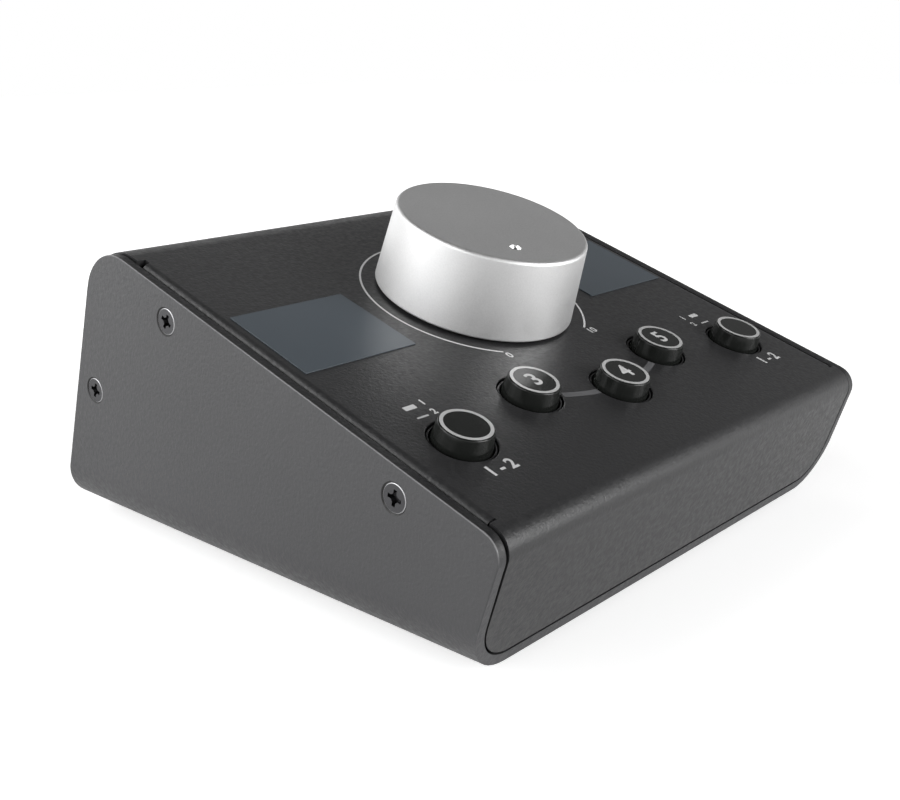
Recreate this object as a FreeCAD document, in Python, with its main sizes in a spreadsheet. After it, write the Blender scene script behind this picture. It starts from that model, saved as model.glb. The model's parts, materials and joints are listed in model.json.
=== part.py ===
import FreeCAD, Part
import math
import os
import re
import Sketcher

# A desktop studio monitor controller: a wedge-shaped steel case with a large volume knob and five push
# buttons on its sloping top, and eight jack sockets on its back. Millimetres and degrees, +Z up, the front
# towards -Y. The origin is on the table, under the middle of the case.
#
# Most pieces are laid out in the panel frame: x across, "along" up the slope from the line where the planes
# of front and top would meet, and "up" out of the panel, from its painted surface. The front and the back
# of the case are both square to the sloping top.

SIZES = {
    # case and its folded sheet
    "body_width": 145.0,
    "slope_length": 133.4,
    "slope_angle": 18.6,
    "front_height": 32.7,
    "base_sheet": 2.3,
    "fold_outer": 12.5,
    "front_bend": 5.0,
    "rear_bend": 12.7,
    "rear_corner": 3.0,
    "wall_step": 0.3,
    "seam_gap": 0.6,
    # cover, a thinner sheet between the walls
    "cover_sheet": 1.5,
    "flange_drop": 13.0,
    "flange_front_gap": 1.8,
    "flange_back": 16.8,
    "flange_bend": 2.0,
    "front_relief_width": 0.6,
    "rear_relief_width": 2.0,
    "relief_depth": 2.1,
    "rear_flange_above": 16.4,
    "rear_flange_below": 17.6,
    # countersunk side screws and their clinch nuts
    "screw_drop": 6.9,
    "screw_first": 26.5,
    "screw_second_inset": 31.7,
    "screw_back_inset": 7.6,
    "screw_back_drop": 38.4,
    "screw_head_radius": 3.1,
    "screw_head_edge": 0.1,
    "screw_shank_radius": 1.7,
    "screw_length": 8.0,
    "screw_sink": 0.15,
    "recess_span": 3.6,
    "recess_slot": 0.9,
    "recess_core": 1.0,
    "recess_depth": 1.3,
    "screw_play": 0.1,
    "clinch_play": 0.05,
    "clinch_wall": 0.8,
    "clinch_height": 2.0,
    "clinch_lip": 0.6,
    # rubber feet
    "foot_radius": 7.0,
    "foot_height": 2.0,
    "foot_edge": 0.6,
    "foot_side_inset": 21.0,
    "foot_front_inset": 17.0,
    "foot_rear_inset": 21.0,
    # blank label plates
    "plate_width": 32.6,
    "plate_height": 26.0,
    "plate_sheet": 0.25,
    "plate_inset": 22.3,
    # volume knob, its core and its potentiometer
    "knob_along": 74.4,
    "knob_gap": 0.6,
    "knob_top": 20.8,
    "knob_base_radius": 25.4,
    "knob_draft": 1.3,
    "knob_rim_round": 0.9,
    "knob_foot_round": 0.5,
    "knob_skirt": 2.6,
    "knob_crown": 3.0,
    "dimple_ball": 1.9,
    "dimple_depth": 0.6,
    "dimple_radius": 15.7,
    "dimple_angle": 28.0,
    "core_disc": 3.0,
    "core_play": 0.05,
    "core_boss_wall": 4.0,
    "core_boss_gap": 0.8,
    "shaft_radius": 3.0,
    "shaft_play": 0.05,
    "shaft_top": 14.8,
    "shaft_end_play": 0.1,
    "pot_floor": 2.0,
    "bushing_wall": 1.5,
    "bushing_top": 5.8,
    "bushing_hole_play": 0.15,
    "pot_size": 17.0,
    "washer_rim": 2.5,
    "washer_sheet": 0.8,
    "nut_rim": 1.85,
    "nut_height": 2.2,
    "pot_pin_size": 0.8,
    "pot_pin_pitch": 5.0,
    "pot_pin_length": 3.2,
    # push buttons
    "arc_radius": 47.6,
    "mono_angle": 31.7,
    "select_inset": 18.8,
    "select_along": 27.95,
    "button_top": 3.7,
    "button_draft": 0.55,
    "button_edge": 0.3,
    "button_waist_step": 0.1,
    "button_skirt_radius": 6.6,
    "button_skirt_drop": 3.0,
    "button_wall": 1.3,
    "button_boss_margin": 0.45,
    "button_boss_drop": 2.0,
    "button_travel": 2.5,
    "collar_play": 0.35,
    "collar_wall": 0.35,
    "collar_hole_play": 0.3,
    "collar_lip": 1.3,
    "collar_flange_sheet": 1.0,
    "collar_sink": 0.5,
    "plunger_size": 3.0,
    "plunger_socket": 3.0,
    "plunger_end_gap": 0.5,
    "plunger_play": 0.15,
    "switch_size": 8.0,
    "switch_height": 6.0,
    "spring_margin": 1.15,
    "spring_wire": 0.2,
    "spring_turns": 3.0,
    "spring_clear": 0.1,
    # control board below the top panel
    "board_depth": 12.5,
    "board_sheet": 1.6,
    "board_side_gap": 4.3,
    "board_front_gap": 4.0,
    "board_rear_gap": 7.3,
    "standoff_radius": 2.9,
    "standoff_bore": 1.45,
    "standoff_front_inset": 14.7,
    "standoff_front_edge": 5.0,
    "standoff_side_edge": 6.0,
    "standoff_rear_edge": 6.0,
    "board_screw_radius": 1.4,
    "board_screw_head": 2.75,
    "board_screw_head_height": 1.8,
    "board_screw_length": 6.0,
    # rear jack sockets and their board
    "jack_housing_width": 15.0,
    "jack_housing_height": 14.0,
    "jack_housing_depth": 26.0,
    "jack_bore_radius": 3.25,
    "jack_bore_end": 1.6,
    "jack_bushing_wall": 1.5,
    "jack_bushing_out": 5.5,
    "jack_bushing_edge": 0.4,
    "jack_hole_play": 0.15,
    "jack_inner_offset": 20.0,
    "jack_outer_inset": 21.5,
    "jack_upper_drop": 28.0,
    "jack_row_pitch": 25.0,
    "jack_nut_rim": 2.45,
    "jack_nut_height": 2.2,
    "jack_washer_rim": 2.15,
    "jack_washer_sheet": 0.6,
    "jack_nut_play": 0.1,
    "jack_board_side_gap": 6.3,
    "jack_board_top_rim": 3.5,
    "jack_board_low_rim": 2.0,
    # flat cable between the boards
    "header_length": 17.0,
    "header_width": 6.0,
    "header_height": 6.0,
    "header_inset": 6.5,
    "ribbon_width": 12.7,
    "ribbon_sheet": 0.9,
    "ribbon_bend": 6.6,
    "ribbon_drop": 12.0,
}

# Places that follow from the sizes, written as formulas of them.
DERIVED = {
    # height of the back along its slope, down to the plane of the case's underside
    "rear_height": "front_height + slope_length * tan(slope_angle)",
    # foremost point, at the front bend, and rearmost point: the walls' lower corner or the lower jacks
    "foremost": "-front_height * sin(slope_angle) + front_bend * (cos(slope_angle) + sin(slope_angle) - 1)",
    "rear_foot": "-front_height * sin(slope_angle) + slope_length * cos(slope_angle)"
                 " + rear_height * sin(slope_angle)",
    "wall_rear": "rear_foot - rear_corner * (1 + sin(slope_angle)) / cos(slope_angle) + rear_corner",
    "jack_lip": "jack_lower_drop + jack_bushing_radius - jack_bushing_edge",
    "jack_rear": "jack_mouth * cos(slope_angle) + (jack_lip - front_height) * sin(slope_angle)",
    "rearmost": "max(wall_rear; jack_rear)",
    "middle": "(foremost + rearmost) / 2",
    "panel_y": "-front_height * sin(slope_angle) - middle",
    "panel_z": "foot_height + front_height * cos(slope_angle)",
    # folded case
    "half_width": "body_width / 2",
    "fold_inner": "fold_outer - base_sheet",
    "arm_height": "front_height + slope_length * sin(slope_angle)",
    # cover between the walls
    "cover_half": "half_width - base_sheet - seam_gap",
    "cover_front_low": "-front_height + base_sheet / cos(slope_angle) + seam_gap",
    "cover_floor_gap": "base_sheet / cos(slope_angle) + cover_sheet * tan(slope_angle) + seam_gap",
    "cover_rear_low": "-rear_height + max(cover_floor_gap; rear_corner / tan(45 - slope_angle / 2))",
    "cover_corner": "fold_inner - seam_gap",
    "flange_inner": "cover_half - cover_sheet",
    "flange_front": "front_bend + flange_front_gap",
    "rear_flange_top": "screw_back_drop - rear_flange_above",
    "rear_flange_low": "screw_back_drop + rear_flange_below",
    "rear_inside": "slope_length - cover_sheet",
    # screws and plates
    "screw_second": "slope_length - screw_second_inset",
    "clinch_bore": "screw_shank_radius + clinch_play",
    "clinch_shank": "clinch_bore + clinch_wall",
    "clinch_radius": "clinch_shank + clinch_lip",
    "plate_offset": "half_width - plate_inset",
    # knob and potentiometer
    "knob_top_radius": "knob_base_radius - knob_draft",
    "bushing_radius": "shaft_radius + bushing_wall",
    "washer_radius": "bushing_radius + washer_rim",
    "nut_radius": "bushing_radius + nut_rim",
    "core_boss_radius": "shaft_radius + core_boss_wall",
    "core_boss_bottom": "bushing_top + core_boss_gap",
    "shaft_bottom": "board_top + pot_floor",
    "knob_bore": "knob_base_radius - knob_skirt",
    "knob_ceiling": "knob_top - knob_crown",
    "core_bottom": "knob_ceiling - core_disc",
    # buttons
    "mute_along": "knob_along - arc_radius",
    "select_offset": "half_width - select_inset",
    "mono_offset": "arc_radius * sin(mono_angle)",
    "mono_along": "knob_along - arc_radius * cos(mono_angle)",
    "button_waist_radius": "button_skirt_radius - button_waist_step",
    "button_face_radius": "button_waist_radius - button_draft",
    "collar_bore": "button_skirt_radius + collar_play",
    "collar_tube": "collar_bore + collar_wall",
    "button_hole_radius": "collar_tube + collar_hole_play",
    "collar_flange": "button_hole_radius + collar_lip",
    "spring_radius": "plunger_size / 2 + spring_margin",
    "button_boss_radius": "spring_radius + spring_wire + button_boss_margin",
    "board_top": "-board_depth",
    "board_bottom": "-board_depth - board_sheet",
    "switch_top": "-board_depth + switch_height",
    "plunger_top": "-button_boss_drop + plunger_socket",
    "plunger_bottom": "board_top + button_travel + plunger_end_gap",
    "spring_length": "-button_boss_drop - switch_top - 2 * spring_clear",
    # boards
    "board_half_width": "flange_inner - board_side_gap",
    "board_start": "front_bend + board_front_gap",
    "board_end": "jack_board_front - board_rear_gap",
    "standoff_front_offset": "select_offset - standoff_front_inset",
    "standoff_front_along": "board_start + standoff_front_edge",
    "standoff_rear_offset": "board_half_width - standoff_side_edge",
    "standoff_rear_along": "board_end - standoff_rear_edge",
    "jack_board_half_width": "flange_inner - jack_board_side_gap",
    "jack_board_top": "jack_upper_drop - jack_housing_height / 2 - jack_board_top_rim",
    "jack_board_low": "jack_lower_drop + jack_housing_height / 2 + jack_board_low_rim",
    # back
    "jack_bushing_radius": "jack_bore_radius + jack_bushing_wall",
    "jack_nut_radius": "jack_bushing_radius + jack_nut_rim",
    "jack_washer_radius": "jack_bushing_radius + jack_washer_rim",
    "jack_outer_offset": "half_width - jack_outer_inset",
    "jack_lower_drop": "jack_upper_drop + jack_row_pitch",
    "jack_back": "rear_inside - jack_housing_depth",
    "jack_board_front": "jack_back - board_sheet",
    "jack_mouth": "slope_length + jack_bushing_out",
    "header_along": "board_end - header_inset",
    "ribbon_top": "board_bottom - header_height",
    "ribbon_level": "ribbon_top - ribbon_drop",
}

PANEL = "placement(vector(0; panel_y; panel_z); rotation(vector(1; 0; 0); slope_angle))"
TABLE = "placement(vector(0; -middle; foot_height); rotation(vector(1; 0; 0); 0))"
TURNS = {
    "up": "rotation(vector(1; 0; 0); 0)",
    "down": "rotation(vector(1; 0; 0); 180)",
    "back": "rotation(vector(1; 0; 0); -90)",
    "right": "rotation(vector(0; 1; 0); 90)",
    "left": "rotation(vector(0; 1; 0); -90)",
}

doc = FreeCAD.newDocument("MonitorController")
sheet = doc.addObject("Spreadsheet::Sheet", "Sizes")
cells = dict(SIZES)
cells.update((name, f"={text}") for name, text in DERIVED.items())
for row, (name, content) in enumerate(cells.items(), 1):
    sheet.set(f"A{row}", name)
    sheet.set(f"B{row}", str(content))
    sheet.setAlias(f"B{row}", name)
doc.recompute()

pieces = []


def formula(text):
    """Spell a formula of size names as an expression that reads the spreadsheet."""
    return re.sub(r"[a-z_]+", lambda word: f"Sizes.{word[0]}" if word[0] in cells else word[0], str(text))


def number(text):
    """The present value of a formula, worked out in a spare cell of the spreadsheet."""
    sheet.set("D1", f"={text}")
    sheet.recompute()
    return float(sheet.get("D1"))


def bind(thing, **sizes):
    """Bind properties of a document object to formulas."""
    for prop, text in sizes.items():
        thing.setExpression(prop, formula(text))
    return thing


def place(thing, frame, x=0, along=0, up=0, turn="up", spin=0, lift=0):
    """Stand a thing in a frame: lifted along and spun about its own z, turned, then moved."""
    spot = f"placement(vector({x}; {along}; {up}); {TURNS[turn]})"
    twist = f"placement(vector(0; 0; {lift}); rotation(vector(0; 0; 1); {spin}))"
    thing.setExpression("Placement", formula(f"{frame} * {spot} * {twist}"))
    return thing


def piece(thing, label):
    """Name a finished sub-part; its label is its file's name."""
    thing.Label = label
    pieces.append(thing)
    return thing


def new_sketch(body, plane, name):
    """An empty sketch on one of the body's own origin planes."""
    support = [item for item in body.Origin.OriginFeatures if item.Role == plane][0]
    sketch = body.newObject("Sketcher::SketchObject", name)
    sketch.AttachmentSupport = [(support, "")]
    sketch.MapMode = "FlatFace"
    return sketch


def arc_between(start, end, radius):
    """A minor arc to the left of its chord's centre for a positive radius, to the right for a negative."""
    chord = end - start
    side = FreeCAD.Vector(-chord.y, chord.x, 0).normalize() * math.copysign(1, radius)
    sagitta = abs(radius) - math.sqrt(max(radius ** 2 - (chord.Length / 2) ** 2, 0))
    return Part.Arc(start, (start + end) / 2 - side * sagitta, end)


def draw(sketch, corners):
    """Draw a closed outline, counter-clockwise, with every corner tied to its two formulas.

    A corner with a third formula, a radius, starts an arc instead of a line; a leading minus makes the
    arc hollow.
    """
    first = sketch.GeometryCount
    spots = [FreeCAD.Vector(number(c[0]), number(c[1]), 0) for c in corners]
    starts = []
    ends = []
    for index, corner in enumerate(corners):
        here, there = spots[index], spots[(index + 1) % len(corners)]
        if len(corner) == 3:
            edge = arc_between(here, there, number(corner[2]))
        else:
            edge = Part.LineSegment(here, there)
        item = sketch.addGeometry(edge, False)
        off = [sketch.getPoint(item, end).distanceToPoint(here) for end in (1, 2)]
        flipped = off[0] > off[1]
        starts.append((item, 2 if flipped else 1))
        ends.append((item, 1 if flipped else 2))
    for index, corner in enumerate(corners):
        sketch.addConstraint(Sketcher.Constraint("Coincident", *ends[index - 1], *starts[index]))
        for axis, kind in enumerate(("DistanceX", "DistanceY")):
            rule = Sketcher.Constraint(kind, -1, 1, *starts[index], spots[index][axis])
            name = f"corner_{first + index}_{kind}"
            sketch.renameConstraint(sketch.addConstraint(rule), name)
            sketch.setExpression(f"Constraints.{name}", formula(corner[axis]))
        if len(corner) == 3:
            size = corner[2].lstrip("-")
            rule = Sketcher.Constraint("Radius", starts[index][0], number(size))
            name = f"corner_{first + index}_radius"
            sketch.renameConstraint(sketch.addConstraint(rule), name)
            sketch.setExpression(f"Constraints.{name}", formula(size))


def turned(name, corners):
    """A body turned about its z axis from an outline of (radius, height) corners."""
    body = doc.addObject("PartDesign::Body", name)
    sketch = new_sketch(body, "XZ_Plane", name + "_outline")
    draw(sketch, corners)
    turning = body.newObject("PartDesign::Revolution", name + "_turning")
    turning.Profile = sketch
    turning.ReferenceAxis = (sketch, ["V_Axis"])
    turning.Angle = 360
    return body


def pad(body, plane, outlines, length, offset=None):
    """Pad outlines both ways from a plane of the body, or one way from an offset off it."""
    name = f"{body.Name}_pad_{len(body.Group)}"
    sketch = new_sketch(body, plane, name + "_outline")
    for corners in outlines:
        draw(sketch, corners)
    if offset:
        sketch.setExpression("AttachmentOffset.Base.z", formula(offset))
    block = body.newObject("PartDesign::Pad", name)
    block.Profile = sketch
    block.SideType = "One side" if offset else "Symmetric"
    bind(block, Length=length)
    return block


def pocket(body, plane, outlines, length):
    """Cut outlines out of the body, both ways from a plane."""
    name = f"{body.Name}_pocket_{len(body.Group)}"
    sketch = new_sketch(body, plane, name + "_outline")
    for corners in outlines:
        draw(sketch, corners)
    hollow = body.newObject("PartDesign::Pocket", name)
    hollow.Profile = sketch
    hollow.SideType = "Symmetric"
    bind(hollow, Length=length)
    return hollow


def mirrored(body):
    """Repeat the body's last feature on the other side of its YZ plane."""
    feature = body.Tip
    copy = body.newObject("PartDesign::Mirrored", feature.Name + "_mirrored")
    copy.Originals = [feature]
    copy.MirrorPlane = ([item for item in body.Origin.OriginFeatures if item.Role == "YZ_Plane"][0], [""])
    body.Tip = copy
    return copy


def rounded(body, radius, wanted):
    """Round the edges of the body so far for which wanted(edge) is true."""
    doc.recompute()
    last = body.Tip
    names = [f"Edge{index}" for index, edge in enumerate(last.Shape.Edges, 1) if wanted(edge)]
    fillet = body.newObject("PartDesign::Fillet", f"{body.Name}_round_{len(body.Group)}")
    fillet.Base = (last, names)
    bind(fillet, Radius=radius)
    return fillet


def block(name, width, depth, height, frame, x, along, up, turn="up", spin=0):
    """A block placed by the middle of its underside."""
    brick = bind(doc.addObject("Part::Box", name), Length=width, Width=depth, Height=height)
    spot = f"placement(vector({x}; {along}; {up}); {TURNS[turn]})"
    twist = f"placement(vector(0; 0; 0); rotation(vector(0; 0; 1); {spin}))"
    centre = f"placement(vector(-({width}) / 2; -({depth}) / 2; 0); rotation(vector(0; 0; 1); 0))"
    brick.setExpression("Placement", formula(f"{frame} * {spot} * {twist} * {centre}"))
    return brick


def rod(name, radius, height, frame, x, along, up, turn="up"):
    """A cylinder placed by the middle of its underside."""
    return place(bind(doc.addObject("Part::Cylinder", name), Radius=radius, Height=height),
                 frame, x, along, up, turn)


def joined(name, parts):
    """One solid from several."""
    fuse = doc.addObject("Part::MultiFuse", name)
    fuse.Shapes = parts
    return fuse


def group(name, parts):
    """Several separate solids in one node."""
    bundle = doc.addObject("Part::Compound", name)
    bundle.Links = parts
    return bundle


def cut(name, base, tools):
    """Base without the tools."""
    result = doc.addObject("Part::Cut", name)
    result.Base = base
    result.Tool = tools[0] if len(tools) == 1 else joined(name + "_cutters", tools)
    return result


# ---------------------------------------------------------------- folded base: floor and two side walls
def make_base_chassis():
    fold = doc.addObject("PartDesign::Body", "chassis_fold")
    outline = [
        ("-half_width", "fold_outer", "fold_outer"),
        ("-half_width + fold_outer", "0"),
        ("half_width - fold_outer", "0", "fold_outer"),
        ("half_width", "fold_outer"),
        ("half_width", "arm_height"),
        ("half_width - base_sheet", "arm_height"),
        ("half_width - base_sheet", "fold_outer", "-fold_inner"),
        ("half_width - fold_outer", "base_sheet"),
        ("-half_width + fold_outer", "base_sheet", "-fold_inner"),
        ("-half_width + base_sheet", "fold_outer"),
        ("-half_width + base_sheet", "arm_height"),
        ("-half_width", "arm_height"),
    ]
    pad(fold, "XZ_Plane", [outline], "4 * slope_length")
    place(fold, TABLE)
    profile = doc.addObject("PartDesign::Body", "chassis_profile")
    side = [
        ("0", "-front_height"),
        ("slope_length", "-rear_height"),
        ("slope_length", "-wall_step"),
        ("0", "-wall_step"),
    ]
    pad(profile, "YZ_Plane", [side], "2 * body_width")
    for radius, along, up in (
            ("front_bend", "0", "-wall_step"),
            ("rear_bend", "slope_length", "-wall_step"),
            ("rear_corner", "slope_length", "-rear_height")):
        corner = FreeCAD.Vector(0, number(along), number(up))
        rounded(profile, radius, lambda edge, corner=corner: crosses(edge, corner))
    place(profile, PANEL)
    shell = doc.addObject("Part::Common", "chassis_shell")
    shell.Base = fold
    shell.Tool = profile
    cutters = []
    for index, (side, along, drop) in enumerate(screw_stations()):
        cutters += countersink(f"chassis_screw_{index}", side, along, drop)
    return piece(cut("base_chassis", shell, cutters), "base_chassis")


def crosses(edge, corner):
    """Whether a straight edge runs across the whole width through a corner of the side profile."""
    box = edge.BoundBox
    reach = box.XLength > box.YLength + box.ZLength
    return reach and abs(box.Center.y - corner.y) < 0.01 and abs(box.Center.z - corner.z) < 0.01


def screw_stations():
    """Side, place along the slope and depth below the panel of each side screw."""
    spots = (
        ("screw_first", "screw_drop"),
        ("screw_second", "screw_drop"),
        ("slope_length - screw_back_inset", "screw_back_drop"),
    )
    return [(side, along, drop) for side in (-1, 1) for along, drop in spots]


# How far round each side screw's cross stands: no two were driven home alike.
CROSS_TURNS = (6, 78, 1, 34, 63, 15)


def outward(side):
    return "right" if side > 0 else "left"


def countersink(name, side, along, drop):
    """Cutters for a countersunk hole through a side wall."""
    wide = "screw_head_radius + screw_head_edge + screw_play + screw_sink"
    narrow = "screw_shank_radius + 2 * screw_play"
    face = f"{side} * half_width"
    cone = bind(doc.addObject("Part::Cone", name + "_cone"),
                Radius1=narrow, Radius2=wide, Height=f"{wide} - ({narrow})")
    place(cone, PANEL, f"{face} - {side} * ({wide} - ({narrow}))", along, f"-({drop})", outward(side))
    hole = rod(name + "_hole", narrow, "2 * base_sheet", PANEL,
               f"{face} - {side} * 1.5 * base_sheet", along, f"-({drop})", outward(side))
    return [cone, hole]


# ---------------------------------------------------------------- wrapped cover: front, top and back
def make_top_cover():
    cover = doc.addObject("PartDesign::Body", "cover_wrap")
    outline = [
        ("0", "cover_front_low"),
        ("cover_sheet", "cover_front_low"),
        ("cover_sheet", "-front_bend", "-(front_bend - cover_sheet)"),
        ("front_bend", "-cover_sheet"),
        ("slope_length - rear_bend", "-cover_sheet", "-(rear_bend - cover_sheet)"),
        ("rear_inside", "-rear_bend"),
        ("rear_inside", "cover_rear_low"),
        ("slope_length", "cover_rear_low"),
        ("slope_length", "-rear_bend", "rear_bend"),
        ("slope_length - rear_bend", "0"),
        ("front_bend", "0", "front_bend"),
        ("0", "-front_bend"),
    ]
    pad(cover, "YZ_Plane", [outline], "2 * cover_half")
    lows = (number("cover_front_low"), number("cover_rear_low"))
    across = number("cover_half")
    rounded(cover, "cover_corner", lambda edge: lower_corner(edge, lows, across))
    flange_rear = "slope_length - flange_back"
    top_flange = [
        ("flange_front", "-flange_drop"),
        (flange_rear, "-flange_drop"),
        (flange_rear, "-cover_sheet / 2"),
        ("flange_front", "-cover_sheet / 2"),
    ]
    rear_flange = [
        ("rear_inside - flange_drop", "-rear_flange_low"),
        ("slope_length - cover_sheet / 2", "-rear_flange_low"),
        ("slope_length - cover_sheet / 2", "-rear_flange_top"),
        ("rear_inside - flange_drop", "-rear_flange_top"),
    ]
    pad(cover, "YZ_Plane", [top_flange, rear_flange], "cover_sheet", "flange_inner")
    mirrored(cover)
    reliefs = []
    for start, end in (
            ("flange_front - front_relief_width", "flange_front"),
            (flange_rear, f"{flange_rear} + rear_relief_width")):
        inner, outer = "cover_half - relief_depth", "cover_half + relief_depth"
        reliefs.append([(inner, start), (outer, start), (outer, end), (inner, end)])
        reliefs.append([(f"-({outer})", start), (f"-({inner})", start),
                        (f"-({inner})", end), (f"-({outer})", end)])
    pocket(cover, "XY_Plane", reliefs, "2 * flange_drop")
    span = (number("flange_front"), number(flange_rear))
    rounded(cover, "flange_bend", lambda edge: flange_edge(edge, span, across))
    place(cover, PANEL)
    holes = [rod("bushing_hole", "bushing_radius + bushing_hole_play", "4 * cover_sheet", PANEL,
                 0, "knob_along", "-3 * cover_sheet")]
    for name, x, along in buttons():
        holes.append(rod(name + "_hole", "button_hole_radius", "4 * cover_sheet", PANEL,
                         x, along, "-3 * cover_sheet"))
    for name, x, drop in jacks():
        holes.append(rod(name + "_hole", "jack_bushing_radius + jack_hole_play", "4 * cover_sheet", PANEL,
                         x, "slope_length - 3 * cover_sheet", f"-({drop})", "back"))
    for index, (side, along, drop) in enumerate(screw_stations()):
        holes.append(rod(f"flange_hole_{index}", "clinch_shank + core_play", "4 * cover_sheet", PANEL,
                         f"{side} * (cover_half - 2 * cover_sheet)", along, f"-({drop})", outward(side)))
    return piece(cut("top_cover", cover, holes), "top_cover")


def flange_edge(edge, span, across):
    """Whether an edge is the outer corner where a side flange turns down from the top."""
    box = edge.BoundBox
    outside = abs(abs(box.Center.x) - across) < 0.01 and box.XLength < 0.01
    return outside and abs(box.Center.z) < 0.01 and box.ZLength < 0.01 and span[0] < box.Center.y < span[1]


def lower_corner(edge, lows, across):
    """Whether a short edge goes through the sheet at a lower corner of the front or the back."""
    box = edge.BoundBox
    outside = abs(abs(box.Center.x) - across) < 0.01 and box.XLength + box.ZLength < 0.01
    return outside and min(abs(box.Center.z - low) for low in lows) < 0.01


def make_side_screws():
    """Countersunk screws with a cross recess, and the clinch nuts that they go into behind the flanges."""
    screws = []
    nuts = []
    for index, (side, along, drop) in enumerate(screw_stations()):
        turn = outward(side)
        spin = CROSS_TURNS[index]
        head = turned(f"side_screw_blank_{index}", [
            ("0", "-screw_length"),
            ("screw_shank_radius", "-screw_length"),
            ("screw_shank_radius", "screw_shank_radius - screw_head_radius - screw_head_edge"),
            ("screw_head_radius", "-screw_head_edge"),
            ("screw_head_radius - screw_head_edge", "0"),
            ("0", "0"),
        ])
        spot = (PANEL, f"{side} * (half_width - screw_sink)", along, f"-({drop})")
        place(head, *spot, turn, spin)
        inner_face = f"{spot[1]} - {side} * recess_depth"
        slots = [rod(f"side_screw_core_{index}", "recess_core", "2 * recess_depth", PANEL, inner_face,
                     along, spot[3], turn)]
        for arm in range(2):
            slots.append(block(f"side_screw_slot_{index}_{arm}", "recess_span", "recess_slot",
                               "2 * recess_depth", PANEL, inner_face, along, spot[3], turn,
                               spin + 90 * arm))
        screws.append(cut(f"side_screw_{index}", head, slots))
        nut = turned(f"clinch_nut_{index}", [
            ("clinch_bore", "-clinch_height"),
            ("clinch_radius", "-clinch_height"),
            ("clinch_radius", "0"),
            ("clinch_shank", "0"),
            ("clinch_shank", "cover_sheet"),
            ("clinch_bore", "cover_sheet"),
        ])
        nuts.append(place(nut, PANEL, f"{side} * flange_inner", along, f"-({drop})", turn))
    piece(group("side_screws", screws), "side_screws")
    piece(group("clinch_nuts", nuts), "clinch_nuts")


def make_feet():
    feet = []
    for x in ("-(half_width - foot_side_inset)", "half_width - foot_side_inset"):
        for along in ("foot_front_inset", "rear_foot - foot_rear_inset"):
            foot = turned(f"foot_{len(feet)}", [
                ("0", "-foot_height"),
                ("foot_radius - foot_edge", "-foot_height"),
                ("foot_radius", "-foot_height + foot_edge"),
                ("foot_radius", "0"),
                ("0", "0"),
            ])
            feet.append(place(foot, TABLE, x, along, 0))
    piece(group("rubber_feet", feet), "rubber_feet")


def make_label_plates():
    for side, name in ((-1, "left_label_plate"), (1, "right_label_plate")):
        plate = block(name, "plate_width", "plate_height", "plate_sheet", PANEL,
                      f"{side} * plate_offset", "knob_along", 0)
        piece(plate, name)


# ---------------------------------------------------------------- volume knob and potentiometer
def make_knob():
    shell = turned("knob_blank", [
        ("knob_bore", "knob_gap"),
        ("knob_base_radius", "knob_gap"),
        ("knob_top_radius", "knob_top"),
        ("0", "knob_top"),
        ("0", "knob_ceiling"),
        ("knob_bore", "knob_ceiling"),
    ])
    for radius, height in (("knob_rim_round", "knob_top"), ("knob_foot_round", "knob_gap")):
        level = number(height)
        least = number("knob_bore") + 0.01
        rounded(shell, radius, lambda edge, level=level, least=least: rim(edge, level, least))
    place(shell, PANEL, 0, "knob_along", 0)
    dimple = bind(doc.addObject("Part::Sphere", "pointer_dimple"), Radius="dimple_ball")
    place(dimple, PANEL, "-dimple_radius * sin(dimple_angle)",
          "knob_along - dimple_radius * cos(dimple_angle)", "knob_top + dimple_ball - dimple_depth")
    piece(cut("volume_knob", shell, [dimple]), "volume_knob")
    core = turned("knob_core", [
        ("shaft_radius + core_play", "core_boss_bottom"),
        ("core_boss_radius", "core_boss_bottom"),
        ("core_boss_radius", "core_bottom"),
        ("knob_bore - core_play", "core_bottom"),
        ("knob_bore - core_play", "knob_ceiling"),
        ("0", "knob_ceiling"),
        ("0", "shaft_top"),
        ("shaft_radius + core_play", "shaft_top"),
    ])
    piece(place(core, PANEL, 0, "knob_along", 0), "knob_core")


def rim(edge, level, least):
    """Whether an edge is an outer circle of a turned piece at a given height."""
    box = edge.BoundBox
    return abs(box.Center.z - level) < 0.01 and box.ZLength < 0.01 and box.XLength > 2 * least


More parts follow.
